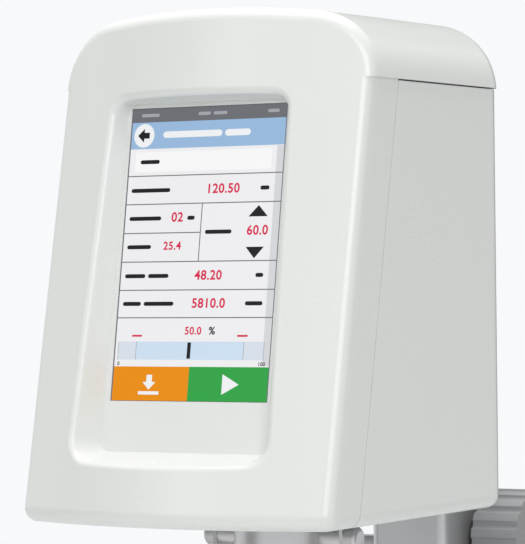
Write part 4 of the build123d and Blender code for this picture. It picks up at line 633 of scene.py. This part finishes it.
def lathe(name: str, profile: list[tuple[float, float]], place: Matrix, material: bpy.types.Material,
          steps: int = 48) -> bpy.types.Object:
    """A turned piece, with its axis along the plane's Z.

    Args:
        name: Name of the piece.
        profile: Radius and height of each corner, from one pole to the other, or around a ring and
            back to the first corner.
        place: Matrix of the plane that the piece stands on.
        material: Its finish.
        steps: Facets around it.

    Returns:
        The piece.
    """
    shape = bmesh.new()
    rings = []
    closed = profile[0] == profile[-1]
    for radius, height in profile[:-1] if closed else profile:
        if radius < 1e-6:
            rings.append([shape.verts.new((0.0, 0.0, height))])
        else:
            rings.append(ring_of(shape, radius, height, steps))
    if closed:
        rings.append(rings[0])
    skin(shape, rings, steps)
    mesh = settle(name, shape)
    mesh.transform(place)
    mesh.materials.append(material)
    mesh.set_sharp_from_angle(angle=math.radians(TURNED_CREASE))
    return link_mesh(name, mesh)


# ------------------------------------------------------------------ repeats, by geometry nodes
class Repeater:
    """Base of the geometry node trees that repeat one form."""

    def __init__(self, name: str) -> None:
        """Start a tree.

        Args:
            name: Name of the tree.
        """
        self.tree = bpy.data.node_groups.new(name, "GeometryNodeTree")
        self.tree.interface.new_socket("Geometry", in_out="INPUT", socket_type="NodeSocketGeometry")
        self.tree.interface.new_socket("Geometry", in_out="OUTPUT", socket_type="NodeSocketGeometry")
        self.source = self.tree.nodes.new("NodeGroupInput")
        self.sink = self.tree.nodes.new("NodeGroupOutput")

    def value(self, name: str, kind: str, default: object) -> bpy.types.NodeSocket:
        """Add a named input.

        Args:
            name: Its name.
            kind: Its socket type, such as Float or Int.
            default: Its default, or None.

        Returns:
            The Group Input node's socket for it.
        """
        socket = self.tree.interface.new_socket(name, in_out="INPUT", socket_type=f"NodeSocket{kind}")
        if default is not None:
            socket.default_value = default
        return self.source.outputs[name]

    def node(self, kind: str, **links: bpy.types.NodeSocket) -> bpy.types.Node:
        """Add a node and link its named inputs.

        Args:
            kind: Type of the node.
            links: Socket for each input, with underscores for spaces.

        Returns:
            The node.
        """
        made = self.tree.nodes.new(kind)
        for label, socket in links.items():
            self.tree.links.new(socket, made.inputs[label.replace("_", " ")])
        return made

    def close(self, instances: bpy.types.NodeSocket) -> None:
        """End the tree in Realize Instances and Set Material.

        Args:
            instances: The instances to end with.
        """
        real = self.node("GeometryNodeRealizeInstances", Geometry=instances)
        material = self.value("Material", "Material", None)
        dressed = self.node("GeometryNodeSetMaterial", Geometry=real.outputs[0], Material=material)
        self.tree.links.new(dressed.outputs[0], self.sink.inputs["Geometry"])

    def run(self, obj: bpy.types.Object, values: dict[str, object]) -> bpy.types.Object:
        """Apply the tree to an object as plain mesh.

        Args:
            obj: The object that carries the modifier.
            values: Value of each named input.

        Returns:
            The object, with its new mesh.
        """
        modifier = obj.modifiers.new("repeat", "NODES")
        modifier.node_group = self.tree
        for item in self.tree.interface.items_tree:
            if item.in_out == "INPUT" and item.name in values:
                modifier[item.identifier] = values[item.name]
        return bake_modifiers(obj)


class RibRing(Repeater):
    """Ribs around a drum, as a knurl has them."""

    def __init__(self) -> None:
        """Build the tree: a circle of points, a rib on each, turned to face outwards."""
        super().__init__("rib_ring")
        ring = self.node(
            "GeometryNodeMeshCircle",
            Vertices=self.value("Ribs", "Int", 24),
            Radius=self.value("Radius", "Float", 0.005),
        )
        rib = self.node("GeometryNodeMeshCube", Size=self.value("Rib Size", "Vector", None))
        place = self.node("GeometryNodeInputPosition")
        facing = self.node("FunctionNodeAlignRotationToVector", Vector=place.outputs[0])
        facing.axis = "X"
        straight = self.node(
            "GeometryNodeInstanceOnPoints", Points=ring.outputs[0], Instance=rib.outputs[0],
            Rotation=facing.outputs[0],
        )
        self.close(straight.outputs[0])


class PieceOnSpots(Repeater):
    """One modelled piece, repeated on the vertices of a host mesh."""

    def __init__(self) -> None:
        """Build the tree: the piece from an object input, instanced on each vertex."""
        super().__init__("piece_on_spots")
        info = self.node("GeometryNodeObjectInfo", Object=self.value("Piece", "Object", None))
        placed = self.node(
            "GeometryNodeInstanceOnPoints", Points=self.source.outputs["Geometry"],
            Instance=info.outputs["Geometry"],
        )
        self.close(placed.outputs[0])


def rib_ring(name: str, place: Matrix, ribs: int, radius: float, rib: Point, finish: Finish
             ) -> bpy.types.Object:
    """A knurl of ribs around a plane's Z axis.

    Args:
        name: Name of the piece.
        place: Matrix of the plane at the knurl's middle.
        ribs: Number of ribs.
        radius: Radius of their middles, in millimetres.
        rib: Size of a rib: radially, around and along the axis.
        finish: Its finish.

    Returns:
        The piece, as plain mesh.
    """
    obj = link_mesh(name, bpy.data.meshes.new(name))
    RibRing().run(obj, {"Ribs": ribs, "Radius": radius, "Rib Size": rib, "Material": finish.material()})
    obj.data.transform(place)
    return obj


def repeat_piece(name: str, piece: bpy.types.Object, spots: list[Point], place: Matrix, finish: Finish
                 ) -> bpy.types.Object:
    """Repeat a modelled piece on spots of a plane.

    Args:
        name: Name of the whole.
        piece: The piece, at the plane's origin; it is removed.
        spots: Where it goes, in millimetres on the plane.
        place: Matrix of the plane.
        finish: Its finish.

    Returns:
        The pieces as one plain mesh.
    """
    mesh = bpy.data.meshes.new(name)
    mesh.from_pydata(spots, [], [])
    obj = link_mesh(name, mesh)
    PieceOnSpots().run(obj, {"Piece": piece, "Material": finish.material()})
    obj.data.transform(place)
    bpy.data.objects.remove(piece)
    return obj


def joined(name: str, parts: list[bpy.types.Object]) -> bpy.types.Object:
    """Join several meshes into one object, keeping their materials.

    Args:
        name: Name of the whole.
        parts: The objects, which are removed.

    Returns:
        The object.
    """
    shape = bmesh.new()
    mesh = bpy.data.meshes.new(name)
    for part in parts:
        first = len(mesh.materials)
        for material in part.data.materials:
            mesh.materials.append(material)
        copy = part.data.copy()
        for face in copy.polygons:
            face.material_index += first
        shape.from_mesh(copy)
        bpy.data.meshes.remove(copy)
        bpy.data.objects.remove(part)
    shape.to_mesh(mesh)
    shape.free()
    return link_mesh(name, mesh)


# ------------------------------------------------------------------ sub-assemblies
@dataclass
class Castings:
    """The pieces that keep their solid shape and only get a finish."""

    finishes: dict[str, Finish] = field(default_factory=lambda: {
        "white_plastic": Finishes.COVER,
        "grey_plate": Finishes.PLATE,
        "screen_glass": Finishes.GLASS,
        "black_rubber": Finishes.RUBBER,
        "dark_plastic": Finishes.DARK,
        "red_plastic": Finishes.RED,
        "sheet_steel": Finishes.SHEET,
        "plated_steel": Finishes.PLATED,
        "turned_steel": Finishes.TURNED,
        "strip_steel": Finishes.STRIP,
        "screw_steel": Finishes.SCREW,
        "column_chrome": Finishes.CHROME,
        "aluminium": Finishes.ALUMINIUM,
        "brass": Finishes.BRASS,
        "spring_bronze": Finishes.SPRING,
        "jewel": Finishes.JEWEL,
        "circuit_board": Finishes.BOARD,
        "bush_plastic": Finishes.BUSH,
        "knob_plastic": Finishes.KNOB,
        "base_paint": Finishes.BASE,
        "vial_green": Finishes.VIAL,
    })

    def dress(self, nodes: dict[str, bpy.types.Object], record: dict) -> None:
        """Give every solid the finish of its material slot.

        Args:
            nodes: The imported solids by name.
            record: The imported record, which says each solid's slot.
        """
        slots = {item["node"]: item["material_slot"] for item in record["subparts"]}
        for name, obj in nodes.items():
            material = self.finishes[slots[name]].material()
            for place in obj.material_slots:
                place.material = material
            if not obj.material_slots:
                obj.data.materials.append(material)
        LOG.info("finishes on %d solids", len(nodes))


# bars that stand for labels: left, right, height, breaks, ink and thickness, where they aren't plain
LABELS = (
    (-29.0, -20.0, 51.3, (), Lit.PALE_INK, 1.2),
    (-4.5, 9.0, 51.3, (2.0,), Lit.PALE_INK, 1.2),
    (25.0, 31.0, 51.3, (), Lit.PALE_INK, 1.2),
    (-19.0, 19.5, 43.9, (7.5,), Lit.WHITE, 2.4),
    (-28.0, -18.5, 33.9),
    (-31.0, -13.0, 23.3),
    (-31.0, -16.0, 12.9),
    (-31.0, -19.5, 2.4),
    (2.0, 14.4, 7.6),
    (-31.0, -11.0, -8.3, (-21.0,)),
    (-31.0, -8.0, -18.5, (-22.0,)),
    (24.0, 29.0, 23.3),
    (24.5, 29.0, -8.3),
    (21.0, 29.5, -18.5),
    (-6.0, -1.6, 12.9),
    (-26.0, -20.4, -30.2, (), Lit.VALUE, 0.7),
    (18.6, 24.4, -30.2, (), Lit.VALUE, 0.7),
)

# numbers: text, place, height of the figures and ink
READINGS = (
    ("120.50", 8.3, 23.3, 3.5, Lit.VALUE),
    ("02", -10.3, 13.1, 3.5, Lit.VALUE),
    ("25.4", -11.6, 2.6, 3.0, Lit.VALUE),
    ("60.0", 24.0, 7.8, 3.5, Lit.VALUE),
    ("48.20", 4.7, -8.3, 3.5, Lit.VALUE),
    ("5810.0", 5.6, -18.5, 3.5, Lit.VALUE),
    ("50.0", 0.0, -28.5, 2.8, Lit.VALUE),
    ("%", 8.0, -28.5, 2.8, Lit.INK),
    ("0", -31.0, -40.4, 1.4, Lit.INK),
    ("100", 29.6, -40.4, 1.4, Lit.INK),
)


@dataclass
class Display:
    """The lit page behind the cover glass: blocks, rules, readings and pictograms."""

    middle: Point = (0.0, -79.8, 342.5)
    lean: float = 9.1
    sunk: float = 0.3
    width: float = 66.1
    height: float = 107.6
    layer: float = 0.03
    rows: tuple[float, ...] = (28.7, 18.2, -3.1, -13.5, -23.6, -41.4)
    word_gap: float = 1.2
    text_layer: int = 4
    figure_size: float = 1.38     # font size, as a share of the figures' height
    figure_weight: float = 0.035
    figure_spacing: float = 1.08
    parts: list[bpy.types.Object] = field(default_factory=list)

    def plane(self, layers: int = 1) -> Matrix:
        """Plane of the page, a few layers in front of the glass.

        Args:
            layers: How many layers in front.

        Returns:
            Its matrix, with X to the right and Y up the display.
        """
        tilt = math.radians(self.lean)
        outward = Vector((0.0, -math.cos(tilt), math.sin(tilt)))
        origin = Vector(self.middle) + outward * (layers * self.layer - self.sunk)
        return frame_at(tuple(origin), (1.0, 0.0, 0.0), (0.0, math.sin(tilt), math.cos(tilt)))

    def shape(self, outline: list[tuple[float, float]], ink: LitFinish, layers: int) -> None:
        """Add one flat coloured shape.

        Args:
            outline: Its corners, in millimetres from the middle of the display.
            ink: Its colour.
            layers: How far in front it lies.
        """
        mesh = bpy.data.meshes.new("patch")
        mesh.from_pydata([(x, y, 0.0) for x, y in outline], [], [tuple(range(len(outline)))])
        mesh.transform(self.plane(layers))
        mesh.materials.append(ink.material())
        self.parts.append(link_mesh("patch", mesh))

    def block(self, left: float, right: float, low: float, high: float, ink: LitFinish, layers: int,
              radius: float = 0.0) -> None:
        """Add a rectangle, with round corners if it has a radius.

        Args:
            left: Its left edge, in millimetres from the middle of the display.
            right: Its right edge.
            low: Its lower edge.
            high: Its upper edge.
            ink: Its colour.
            layers: How far in front it lies.
            radius: Radius of its corners, or 0.
        """
        center = ((left + right) / 2, (low + high) / 2)
        if radius:
            self.shape(rounded(right - left, high - low, radius, center), ink, layers)
        else:
            self.shape([(left, low), (right, low), (right, high), (left, high)], ink, layers)

    def reading(self, text: str, x: float, y: float, size: float, ink: LitFinish) -> None:
        """Add a number in bold figures.

        Args:
            text: The number.
            x: Its middle across the display.
            y: Its middle up the display.
            size: Height of the figures in millimetres.
            ink: Its colour.
        """
        curve = bpy.data.curves.new("figures", "FONT")
        curve.body = text
        curve.size = size * self.figure_size
        curve.offset = size * self.figure_weight
        curve.space_character = self.figure_spacing
        curve.align_x = "CENTER"
        curve.align_y = "CENTER"
        source = bpy.data.objects.new("figures", curve)
        bpy.context.scene.collection.objects.link(source)
        mesh = evaluated_mesh(source)
        bpy.data.objects.remove(source)
        mesh.materials.clear()
        mesh.materials.append(ink.material())
        mesh.transform(self.plane(self.text_layer) @ Matrix.Translation((x, y, 0.0)))
        self.parts.append(link_mesh("figures", mesh))

    def label(self, left: float, right: float, y: float, breaks: tuple[float, ...] = (),
              ink: LitFinish = Lit.INK, thick: float = 1.5) -> None:
        """Add a bar that stands for a label, broken where its words would be.

        Args:
            left: Its left end.
            right: Its right end.
            y: Its middle up the display.
            breaks: Where it is broken.
            ink: Its colour.
            thick: Its thickness.
        """
        ends = [left, *breaks, right]
        for start, stop in zip(ends, ends[1:]):
            self.block(start, stop - self.word_gap, y - thick / 2, y + thick / 2, ink, self.text_layer,
                       thick / 2)

    def page(self) -> None:
        """Lay out the bars, fields and rules of the page, and a strip of painted shadow down its right side.
        """
        half, top = self.width / 2, self.height / 2
        self.block(-half, half, -top, top, Lit.PAGE, 1)
        # painted shadow of the recess wall: a greyer strip down the right of the page
        self.block(half - 3.2, half, -41.0, 38.6, Lit.RECESS_SHADOW, 2)
        self.block(-half, half, 48.7, top, Lit.STATUS, 2)
        self.block(-half, half, 38.8, 48.7, Lit.TITLE, 2)
        self.block(-30.2, 27.8, 30.2, 37.6, Lit.FIELD, 3)
        for level in self.rows[:-1]:
            self.block(-half, half, level - 0.2, level + 0.2, Lit.LINE, 3)
        self.block(-half, 0.0, 7.3, 7.7, Lit.LINE, 3)
        self.block(-0.2, 0.2, self.rows[2], self.rows[1], Lit.LINE, 3)
        for side in (-1, 1):
            self.block(side * half - 0.3, side * half + 0.3, -top, top, Lit.STATUS, 3)

    def pictograms(self) -> None:
        """Add the arrows and the signs on the two keys."""
        self.shape(rounded(8.8, 8.8, 4.4, (-27.3, 43.8), 8), Lit.WHITE, 3)
        self.shape([(-30.0, 43.8), (-27.2, 46.4), (-27.2, 44.9), (-24.9, 44.9), (-24.9, 42.7),
                    (-27.2, 42.7), (-27.2, 41.2)], Lit.INK, 4)
        self.shape([(19.9, 12.9), (27.9, 12.9), (23.9, 17.0)], Lit.INK, 4)
        self.shape([(23.4, -2.3), (27.2, 1.9), (19.6, 1.9)], Lit.INK, 4)
        half, top = self.width / 2, self.height / 2
        self.block(-half, -0.5, -top, self.rows[-1], Lit.ORANGE, 2)
        self.block(-0.5, half, -top, self.rows[-1], Lit.GREEN, 2)
        # a tray with an arrow down into it, and a play triangle
        self.shape([(-18.4, -44.4), (-16.0, -44.4), (-16.0, -47.0), (-14.4, -47.0), (-17.2, -49.8),
                    (-20.0, -47.0), (-18.4, -47.0)], Lit.WHITE, 3)
        self.block(-21.6, -12.8, -51.6, -50.4, Lit.WHITE, 3)
        self.shape([(13.8, -51.4), (20.8, -47.7), (13.8, -44.0)], Lit.WHITE, 3)

    def gauge(self) -> None:
        """Add the bar of the percentage gauge, with its marker and its end zones."""
        edges, low, high = (-31.5, -23.8, 21.8, 30.2), -38.9, -32.3
        self.block(edges[0], edges[3], low, high, Lit.GAUGE, 3)
        self.block(edges[0], edges[1], low, high, Lit.GAUGE_END, 4)
        self.block(edges[2], edges[3], low, high, Lit.GAUGE_END, 4)
        for edge in edges:
            self.block(edge - 0.12, edge + 0.12, low, high, Lit.PALE_INK, 5)
        self.block(-1.9, -0.4, -38.5, -32.6, Lit.INK, 6)

    def build(self) -> bpy.types.Object:
        """Make the page as one piece on the head.

        Returns:
            The piece.
        """
        self.page()
        for bar in LABELS:
            self.label(*bar)
        for number in READINGS:
            self.reading(*number)
        self.pictograms()
        self.gauge()
        piece = joined("display_page_figures", self.parts)
        return finish_piece(piece, Body.HEAD)


@dataclass
class SocketScrews:
    """Socket-head screws that take the place of plain ones."""

    node: str
    body: Body
    spots: list[Point]
    place: Matrix
    head: float
    length: float
    shank: float
    reach: float
    slot: str = "screw_steel"
    sides: int = 24

    def one(self) -> bpy.types.Object:
        """Model a single screw, head up, with a hexagonal socket.

        Returns:
            The screw at the plane's origin.
        """
        head, socket, tall = self.head, self.head * 0.5, self.length
        shape = bmesh.new()
        rings = [ring_of(shape, radius, height, self.sides, hexed) for radius, height, hexed in (
            (self.shank, -self.reach, False),
            (self.shank, 0.0, False),
            (head, 0.0, False),
            (head, tall * 0.82, False),
            (head * 0.93, tall * 0.97, False),
            (head * 0.86, tall, False),
            (socket * 1.12, tall, False),
            (socket, tall * 0.93, True),
            (socket, tall * 0.35, True),
        )]
        skin(shape, rings, self.sides)
        for cap in (rings[-1], rings[0][::-1]):
            shape.faces.new(cap).smooth = True
        mesh = settle("screw", shape)
        mesh.set_sharp_from_angle(angle=math.radians(SCREW_CREASE))
        return link_mesh("screw", mesh)

    def build(self) -> bpy.types.Object:
        """Repeat the screw on its spots and put it in place of the plain solids.

        Returns:
            The screws as one piece.
        """
        piece = repeat_piece(f"{self.node}_socket_heads", self.one(), self.spots, self.place, Finishes.SCREW)
        finish_piece(piece, self.body)
        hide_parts(self.node)
        return piece


@dataclass
class HeadFittings:
    """Screws and small fittings on the head, its arm and its back panel."""

    bottom: float = 245.0
    back_y: float = 37.0
    carriage_y: float = 76.0
    flange: float = 6.0
    socket_rise: float = 66.0
    inlet_x: float = -36.0
    inlet_depth: float = 13.0
    screw_radius: float = 1.95
    cap_radius: float = 3.5

    def spots(self, across: float, heights: tuple[float, float]) -> list[Point]:
        """Four spots, two each side of the middle at two heights."""
        return [(side * across, z, 0.0) for side in (-1, 1) for z in heights]

    def arm_screws(self) -> None:
        """Screws of the arm's two flanges."""
        SocketScrews("arm_screws", Body.HEAD, self.spots(21.0, (11.0, 34.0)),
                     frame_at((0.0, self.back_y + self.flange, self.bottom), (-1, 0, 0), (0, 0, 1)),
                     self.cap_radius, self.cap_radius, self.screw_radius, self.flange + 5.6).build()
        SocketScrews("carriage_screws", Body.HEAD, self.spots(12.0, (6.0, 36.0)),
                     frame_at((0.0, self.carriage_y - self.flange, self.bottom), (1, 0, 0), (0, 0, 1)),
                     self.cap_radius, self.cap_radius, self.screw_radius, self.flange + 4.7).build()

    def inlet_blades(self) -> None:
        """Plated sleeves over the three blades of the mains inlet."""
        blade = outline_prism("blade", rounded(2.1, 4.1, 0.3), 9.05,
                              Matrix.Scale(1, 4), Finishes.PLATED.material(), 0.25)
        middle = (self.inlet_x, self.back_y - self.inlet_depth, self.bottom + self.socket_rise)
        piece = repeat_piece("inlet_blades", blade, [(0.0, 3.0, 0.0), (-7.0, -2.0, 0.0), (7.0, -2.0, 0.0)],
                             frame_at(middle, (-1, 0, 0), (0, 0, 1)), Finishes.PLATED)
        finish_piece(piece, Body.HEAD)

    def contacts(self, name: str, spots: list[Point], x: float, depth: float) -> None:
        """Gilt contacts just inside a socket of the back panel.

        Args:
            name: Name of the piece.
            spots: Their places in the socket.
            x: The socket's middle.
            depth: Where they start, outside the panel.
        """
        contact = lathe("contact", [(0.0, 0.0), (0.55, 0.0), (0.55, 3.6), (0.3, 3.8), (0.0, 3.8)],
                        Matrix.Identity(4), Finishes.GOLD.material(), 12)
        place = frame_at((x, self.back_y + depth, self.bottom + self.socket_rise), (-1, 0, 0), (0, 0, 1))
        finish_piece(repeat_piece(name, contact, spots, place, Finishes.GOLD), Body.HEAD)

    def port_contacts(self) -> None:
        """Contacts of the data port, in two rows, and of the round probe socket."""
        upper = [(-5.6 + 2.8 * step, 1.4, 0.0) for step in range(5)]
        lower = [(-4.2 + 2.8 * step, -1.4, 0.0) for step in range(4)]
        self.contacts("data_contacts", upper + lower, 12.0, 2.0)
        around = [(3 * math.cos(a), 3 * math.sin(a), 0.0) for a in (0, math.pi / 2, math.pi, 3 * math.pi / 2)]
        self.contacts("probe_contacts", around, 42.0, -1.0)

    def build(self) -> None:
        """Make them all."""
        self.arm_screws()
        self.inlet_blades()
        self.port_contacts()


@dataclass
class RockerMarks:
    """The bar and the ring moulded on the hollow face of the power rocker."""

    pivot: Point = (-36.0, 38.0, 341.0)
    tilt: float = 8.0
    dip: float = 1.2
    rise: float = 1.4
    half: float = 7.9
    from_middle: float = 4.0
    proud: float = 0.12

    def place(self, up: float) -> Matrix:
        """Plane that touches the rocker's face.

        Args:
            up: How far up the rocker, in millimetres from its pivot.

        Returns:
            Its matrix, with X to the right as seen from behind.
        """
        tilt = math.radians(self.tilt)
        outward = Vector((0.0, math.cos(tilt), math.sin(tilt)))
        upward = Vector((0.0, -math.sin(tilt), math.cos(tilt)))
        origin = (Vector(self.pivot) + upward * up
                  + outward * (self.dip + self.rise * (up / self.half) ** 2))
        along = upward + outward * (2 * self.rise * up / self.half ** 2)
        return frame_at(tuple(origin), (-1.0, 0.0, 0.0), tuple(along))

    def build(self) -> None:
        """Add the bar above and the ring below."""
        paint = Finishes.MARK.material()
        bar = outline_prism("bar", rounded(0.9, 3.0, 0.3), self.proud, self.place(self.from_middle), paint)
        ring = lathe("ring", [(1.15, 0.0), (1.75, 0.0), (1.75, self.proud), (1.15, self.proud), (1.15, 0.0)],
                     self.place(-self.from_middle), paint, 36)
        finish_piece(joined("rocker_marks", [bar, ring]), Body.ROCKER)


@dataclass
class GuardScrews:
    """Knurled thumb screws of the guard leg, with a coin slot."""

    outside: float = 28.15
    height: float = 236.0
    spindle_y: float = -22.0
    radius: float = 4.6
    length: float = 5.0

    def build(self) -> None:
        """Add a knurl around each head and a turned dish on its face."""
        parts = []
        for side in (-1, 1):
            base = frame_at((side * self.outside, self.spindle_y, self.height), (0, side, 0), (0, 0, 1))
            parts.append(rib_ring("knurl", base @ Matrix.Translation((0, 0, self.length * 0.40)), 36,
                                  self.radius - 0.12, (0.55, 0.42, self.length * 0.62), Finishes.SCREW))
            parts.append(lathe("dish", [
                (0.0, self.length - 0.25), (self.radius * 0.35, self.length - 0.25),
                (self.radius * 0.45, self.length + 0.12), (self.radius * 0.62, self.length + 0.12),
                (self.radius * 0.66, self.length - 0.05), (0.0, self.length - 0.3),
            ], base, Finishes.SCREW.material(), 36))
        finish_piece(joined("guard_screw_knurls", parts), Body.HEAD)


@dataclass
class MeasuringTrim:
    """Knurl and collars of the spindle coupling."""

    coupling_top: float = 221.0
    coupling_length: float = 16.0
    radius: float = 4.5
    spindle_y: float = -22.0

    def build(self) -> None:
        """Add a knurled band at the coupling's middle and a collar at each end."""
        base = frame_at((0.0, self.spindle_y, self.coupling_top - self.coupling_length), (1, 0, 0), (0, 1, 0))
        middle = self.coupling_length / 2
        knurl = rib_ring("knurl", base @ Matrix.Translation((0, 0, middle)), 30, self.radius - 0.05,
                         (0.5, 0.5, self.coupling_length * 0.55), Finishes.TURNED)
        collars = [
            lathe("collar", [(self.radius - 0.3, z - 1.2), (self.radius + 0.2, z - 1.0),
                             (self.radius + 0.2, z + 1.0), (self.radius - 0.3, z + 1.2),
                             (self.radius - 0.3, z - 1.2)],
                  base, Finishes.TURNED.material(), 36)
            for z in (1.6, self.coupling_length - 1.6)
        ]
        finish_piece(joined("coupling_knurl", [knurl, *collars]), Body.MEASURING)


@dataclass
class LevelBubble:
    """The bubble of the level and the circle that it is centred in."""

    base_top: float = 40.0
    level_y: float = 55.0
    glass: float = 1.0

    def build(self) -> None:
        """Add the circle, and the bubble near its middle."""
        place = frame_at((0.0, self.level_y, self.base_top + self.glass), (1, 0, 0), (0, 1, 0))
        ring = lathe("circle", [(2.9, 0.0), (3.4, 0.0), (3.3, 0.06), (3.0, 0.06), (2.9, 0.0)],
                     place, Finishes.DARK.material(), 40)
        dome = lathe("bubble", [(0.0, 0.0), (2.1, 0.0), (1.9, 0.12), (1.2, 0.22), (0.0, 0.26)],
                     place @ Matrix.Translation((0.3, 0.2, 0.0)), Finishes.MARK.material(), 32)
        finish_piece(joined("level_bubble", [ring, dome]), Body.STAND)


# ------------------------------------------------------------------ studio
@dataclass
class Studio:
    """Floor, light and camera."""

    camera_at: Point = (607.7, -1050.4, 335.3)
    yaw: float = 30.9
    roll: float = 0.63
    lens: float = 210.24
    background: Color = shade(248, 249, 251)
    card_turns: dict[str, float] = field(default_factory=lambda: {
        "left_card": -48.0, "right_card": 108.0, "rear_card": 190.0,
    })
    card_distance: float = 1.6
    card_width: float = 1.0
    card_height: float = 2.4
    card_middle: float = 0.4
    floor_radius: float = 2.2
    fade_start: float = 0.5
    fade_end: float = 2.1
    ambient: float = 0.265
    key: float = 25.5
    fill: float = 5.2
    top: float = 35.0

    def world(self) -> None:
        """Pale world behind everything, dimmer as a light."""
        world = bpy.data.worlds.new("studio_sky")
        bpy.context.scene.world = world
        world.use_nodes = True
        shading, nodes = Shading(world.node_tree), world.node_tree.nodes
        shown = nodes["Background"]
        shading.feed(shown, {"Color": self.background + (1.0,)})
        lighting = shading.node("Background", {"Color": (1.0, 1.0, 1.0, 1.0), "Strength": self.ambient})
        ray = shading.node("LightPath", {}).outputs
        seen = shading.math("MAXIMUM", ray["Is Camera Ray"], ray["Is Transmission Ray"])
        either = shading.math("MAXIMUM", seen, ray["Is Glossy Ray"])
        mix = shading.node("MixShader", {0: either, 1: lighting.outputs[0], 2: shown.outputs[0]})
        shading.feed(nodes["World Output"], {"Surface": mix.outputs[0]})

    def floor(self) -> None:
        """Round pale floor that fades out at its rim."""
        shape = bmesh.new()
        bmesh.ops.create_circle(shape, cap_ends=True, segments=96, radius=self.floor_radius)
        mesh = bpy.data.meshes.new("studio_floor")
        shape.to_mesh(mesh)
        shape.free()
        obj = link_mesh("studio_floor", mesh)
        material = Finishes.FLOOR.material()
        shading = Shading(material.node_tree)
        distance = shading.node("VectorMath", {0: shading.place()}, operation="LENGTH").outputs["Value"]
        fade = shading.node("MapRange", {
            "Value": distance, "From Min": self.fade_start, "From Max": self.fade_end,
            "To Min": 1.0, "To Max": 0.0,
        }, interpolation_type="SMOOTHSTEP")
        shading.feed(material.node_tree.nodes["Principled BSDF"],
                     {"Specular IOR Level": 0.1, "Alpha": fade.outputs["Result"]})
        mesh.materials.append(material)

    def cards(self) -> None:
        """Hang dark cards at the sides that only polished metal shows, so that it has contrast."""
        for name, turn in self.card_turns.items():
            angle = math.radians(turn)
            away = Vector((math.sin(angle), -math.cos(angle), 0.0))
            across = Vector((math.cos(angle), math.sin(angle), 0.0)) * (self.card_width / 2)
            middle = away * self.card_distance + Vector((0.0, 0.0, self.card_middle))
            rise = Vector((0.0, 0.0, self.card_height / 2))
            mesh = bpy.data.meshes.new(name)
            corners = [middle - across - rise, middle + across - rise, middle + across + rise,
                       middle - across + rise]
            mesh.from_pydata([tuple(corner) for corner in corners], [], [(0, 1, 2, 3)])
            mesh.materials.append(Finishes.CARD.material())
            obj = link_mesh(name, mesh)
            obj.visible_camera = False
            obj.visible_diffuse = False
            obj.visible_shadow = False
            obj.visible_transmission = False

    def light(self, name: str, at: Point, towards: Point, size: float, power: float) -> None:
        """Add a square soft light.

        Args:
            name: Its name.
            at: Where it is, in metres.
            towards: What it is aimed at.
            size: Its width in metres.
            power: Its power in watts.
        """
        lamp = bpy.data.lights.new(name, "AREA")
        lamp.shape = "SQUARE"
        lamp.size = size
        lamp.energy = power
        obj = bpy.data.objects.new(name, lamp)
        obj.location = at
        obj.rotation_euler = (Vector(towards) - Vector(at)).to_track_quat("-Z", "Y").to_euler()
        bpy.context.scene.collection.objects.link(obj)

    def lights(self) -> None:
        """Add the key light from the right, a weak one from the left and one from above."""
        self.light("key_light", (1.45, -1.95, 1.50), (0.0, -0.03, 0.33), 1.3, self.key)
        self.light("fill_light", (-1.3, -2.1, 0.9), (0.0, -0.03, 0.33), 1.3, self.fill)
        self.light("top_light", (-0.1, 0.0, 2.3), (0.0, 0.0, 0.3), 1.4, self.top)

    def camera(self) -> None:
        """Add the camera."""
        lens = bpy.data.cameras.new("camera")
        lens.sensor_width = 36.0
        lens.lens = self.lens
        obj = bpy.data.objects.new("camera", lens)
        bpy.context.scene.collection.objects.link(obj)
        yaw, roll = math.radians(self.yaw), math.radians(self.roll)
        forward = Vector((-math.sin(yaw), math.cos(yaw), 0.0))
        level = forward.cross(Vector((0.0, 0.0, 1.0)))
        up = Vector((0.0, 0.0, 1.0)) * math.cos(roll) + level * math.sin(roll)
        right = level * math.cos(roll) - Vector((0.0, 0.0, 1.0)) * math.sin(roll)
        turn = Matrix((right, up, -forward)).transposed().to_4x4()
        obj.matrix_world = Matrix.Translation(Vector(self.camera_at) * MM) @ turn
        bpy.context.scene.camera = obj

    def build(self) -> None:
        """Set the whole studio up."""
        self.world()
        self.floor()
        self.cards()
        self.lights()
        self.camera()
        bpy.context.scene.view_settings.view_transform = "Standard"


def main() -> None:
    """Dress the solids, add the pieces of each sub-assembly and set up the studio."""
    logging.basicConfig(level=logging.INFO, format="%(name)s: %(message)s")
    Castings().dress(frame["nodes"], frame["record"])
    Display().build()
    HeadFittings().build()
    RockerMarks().build()
    GuardScrews().build()
    MeasuringTrim().build()
    LevelBubble().build()
    Studio().build()
    bpy.context.view_layer.update()


if __name__ == "__main__":
    main()
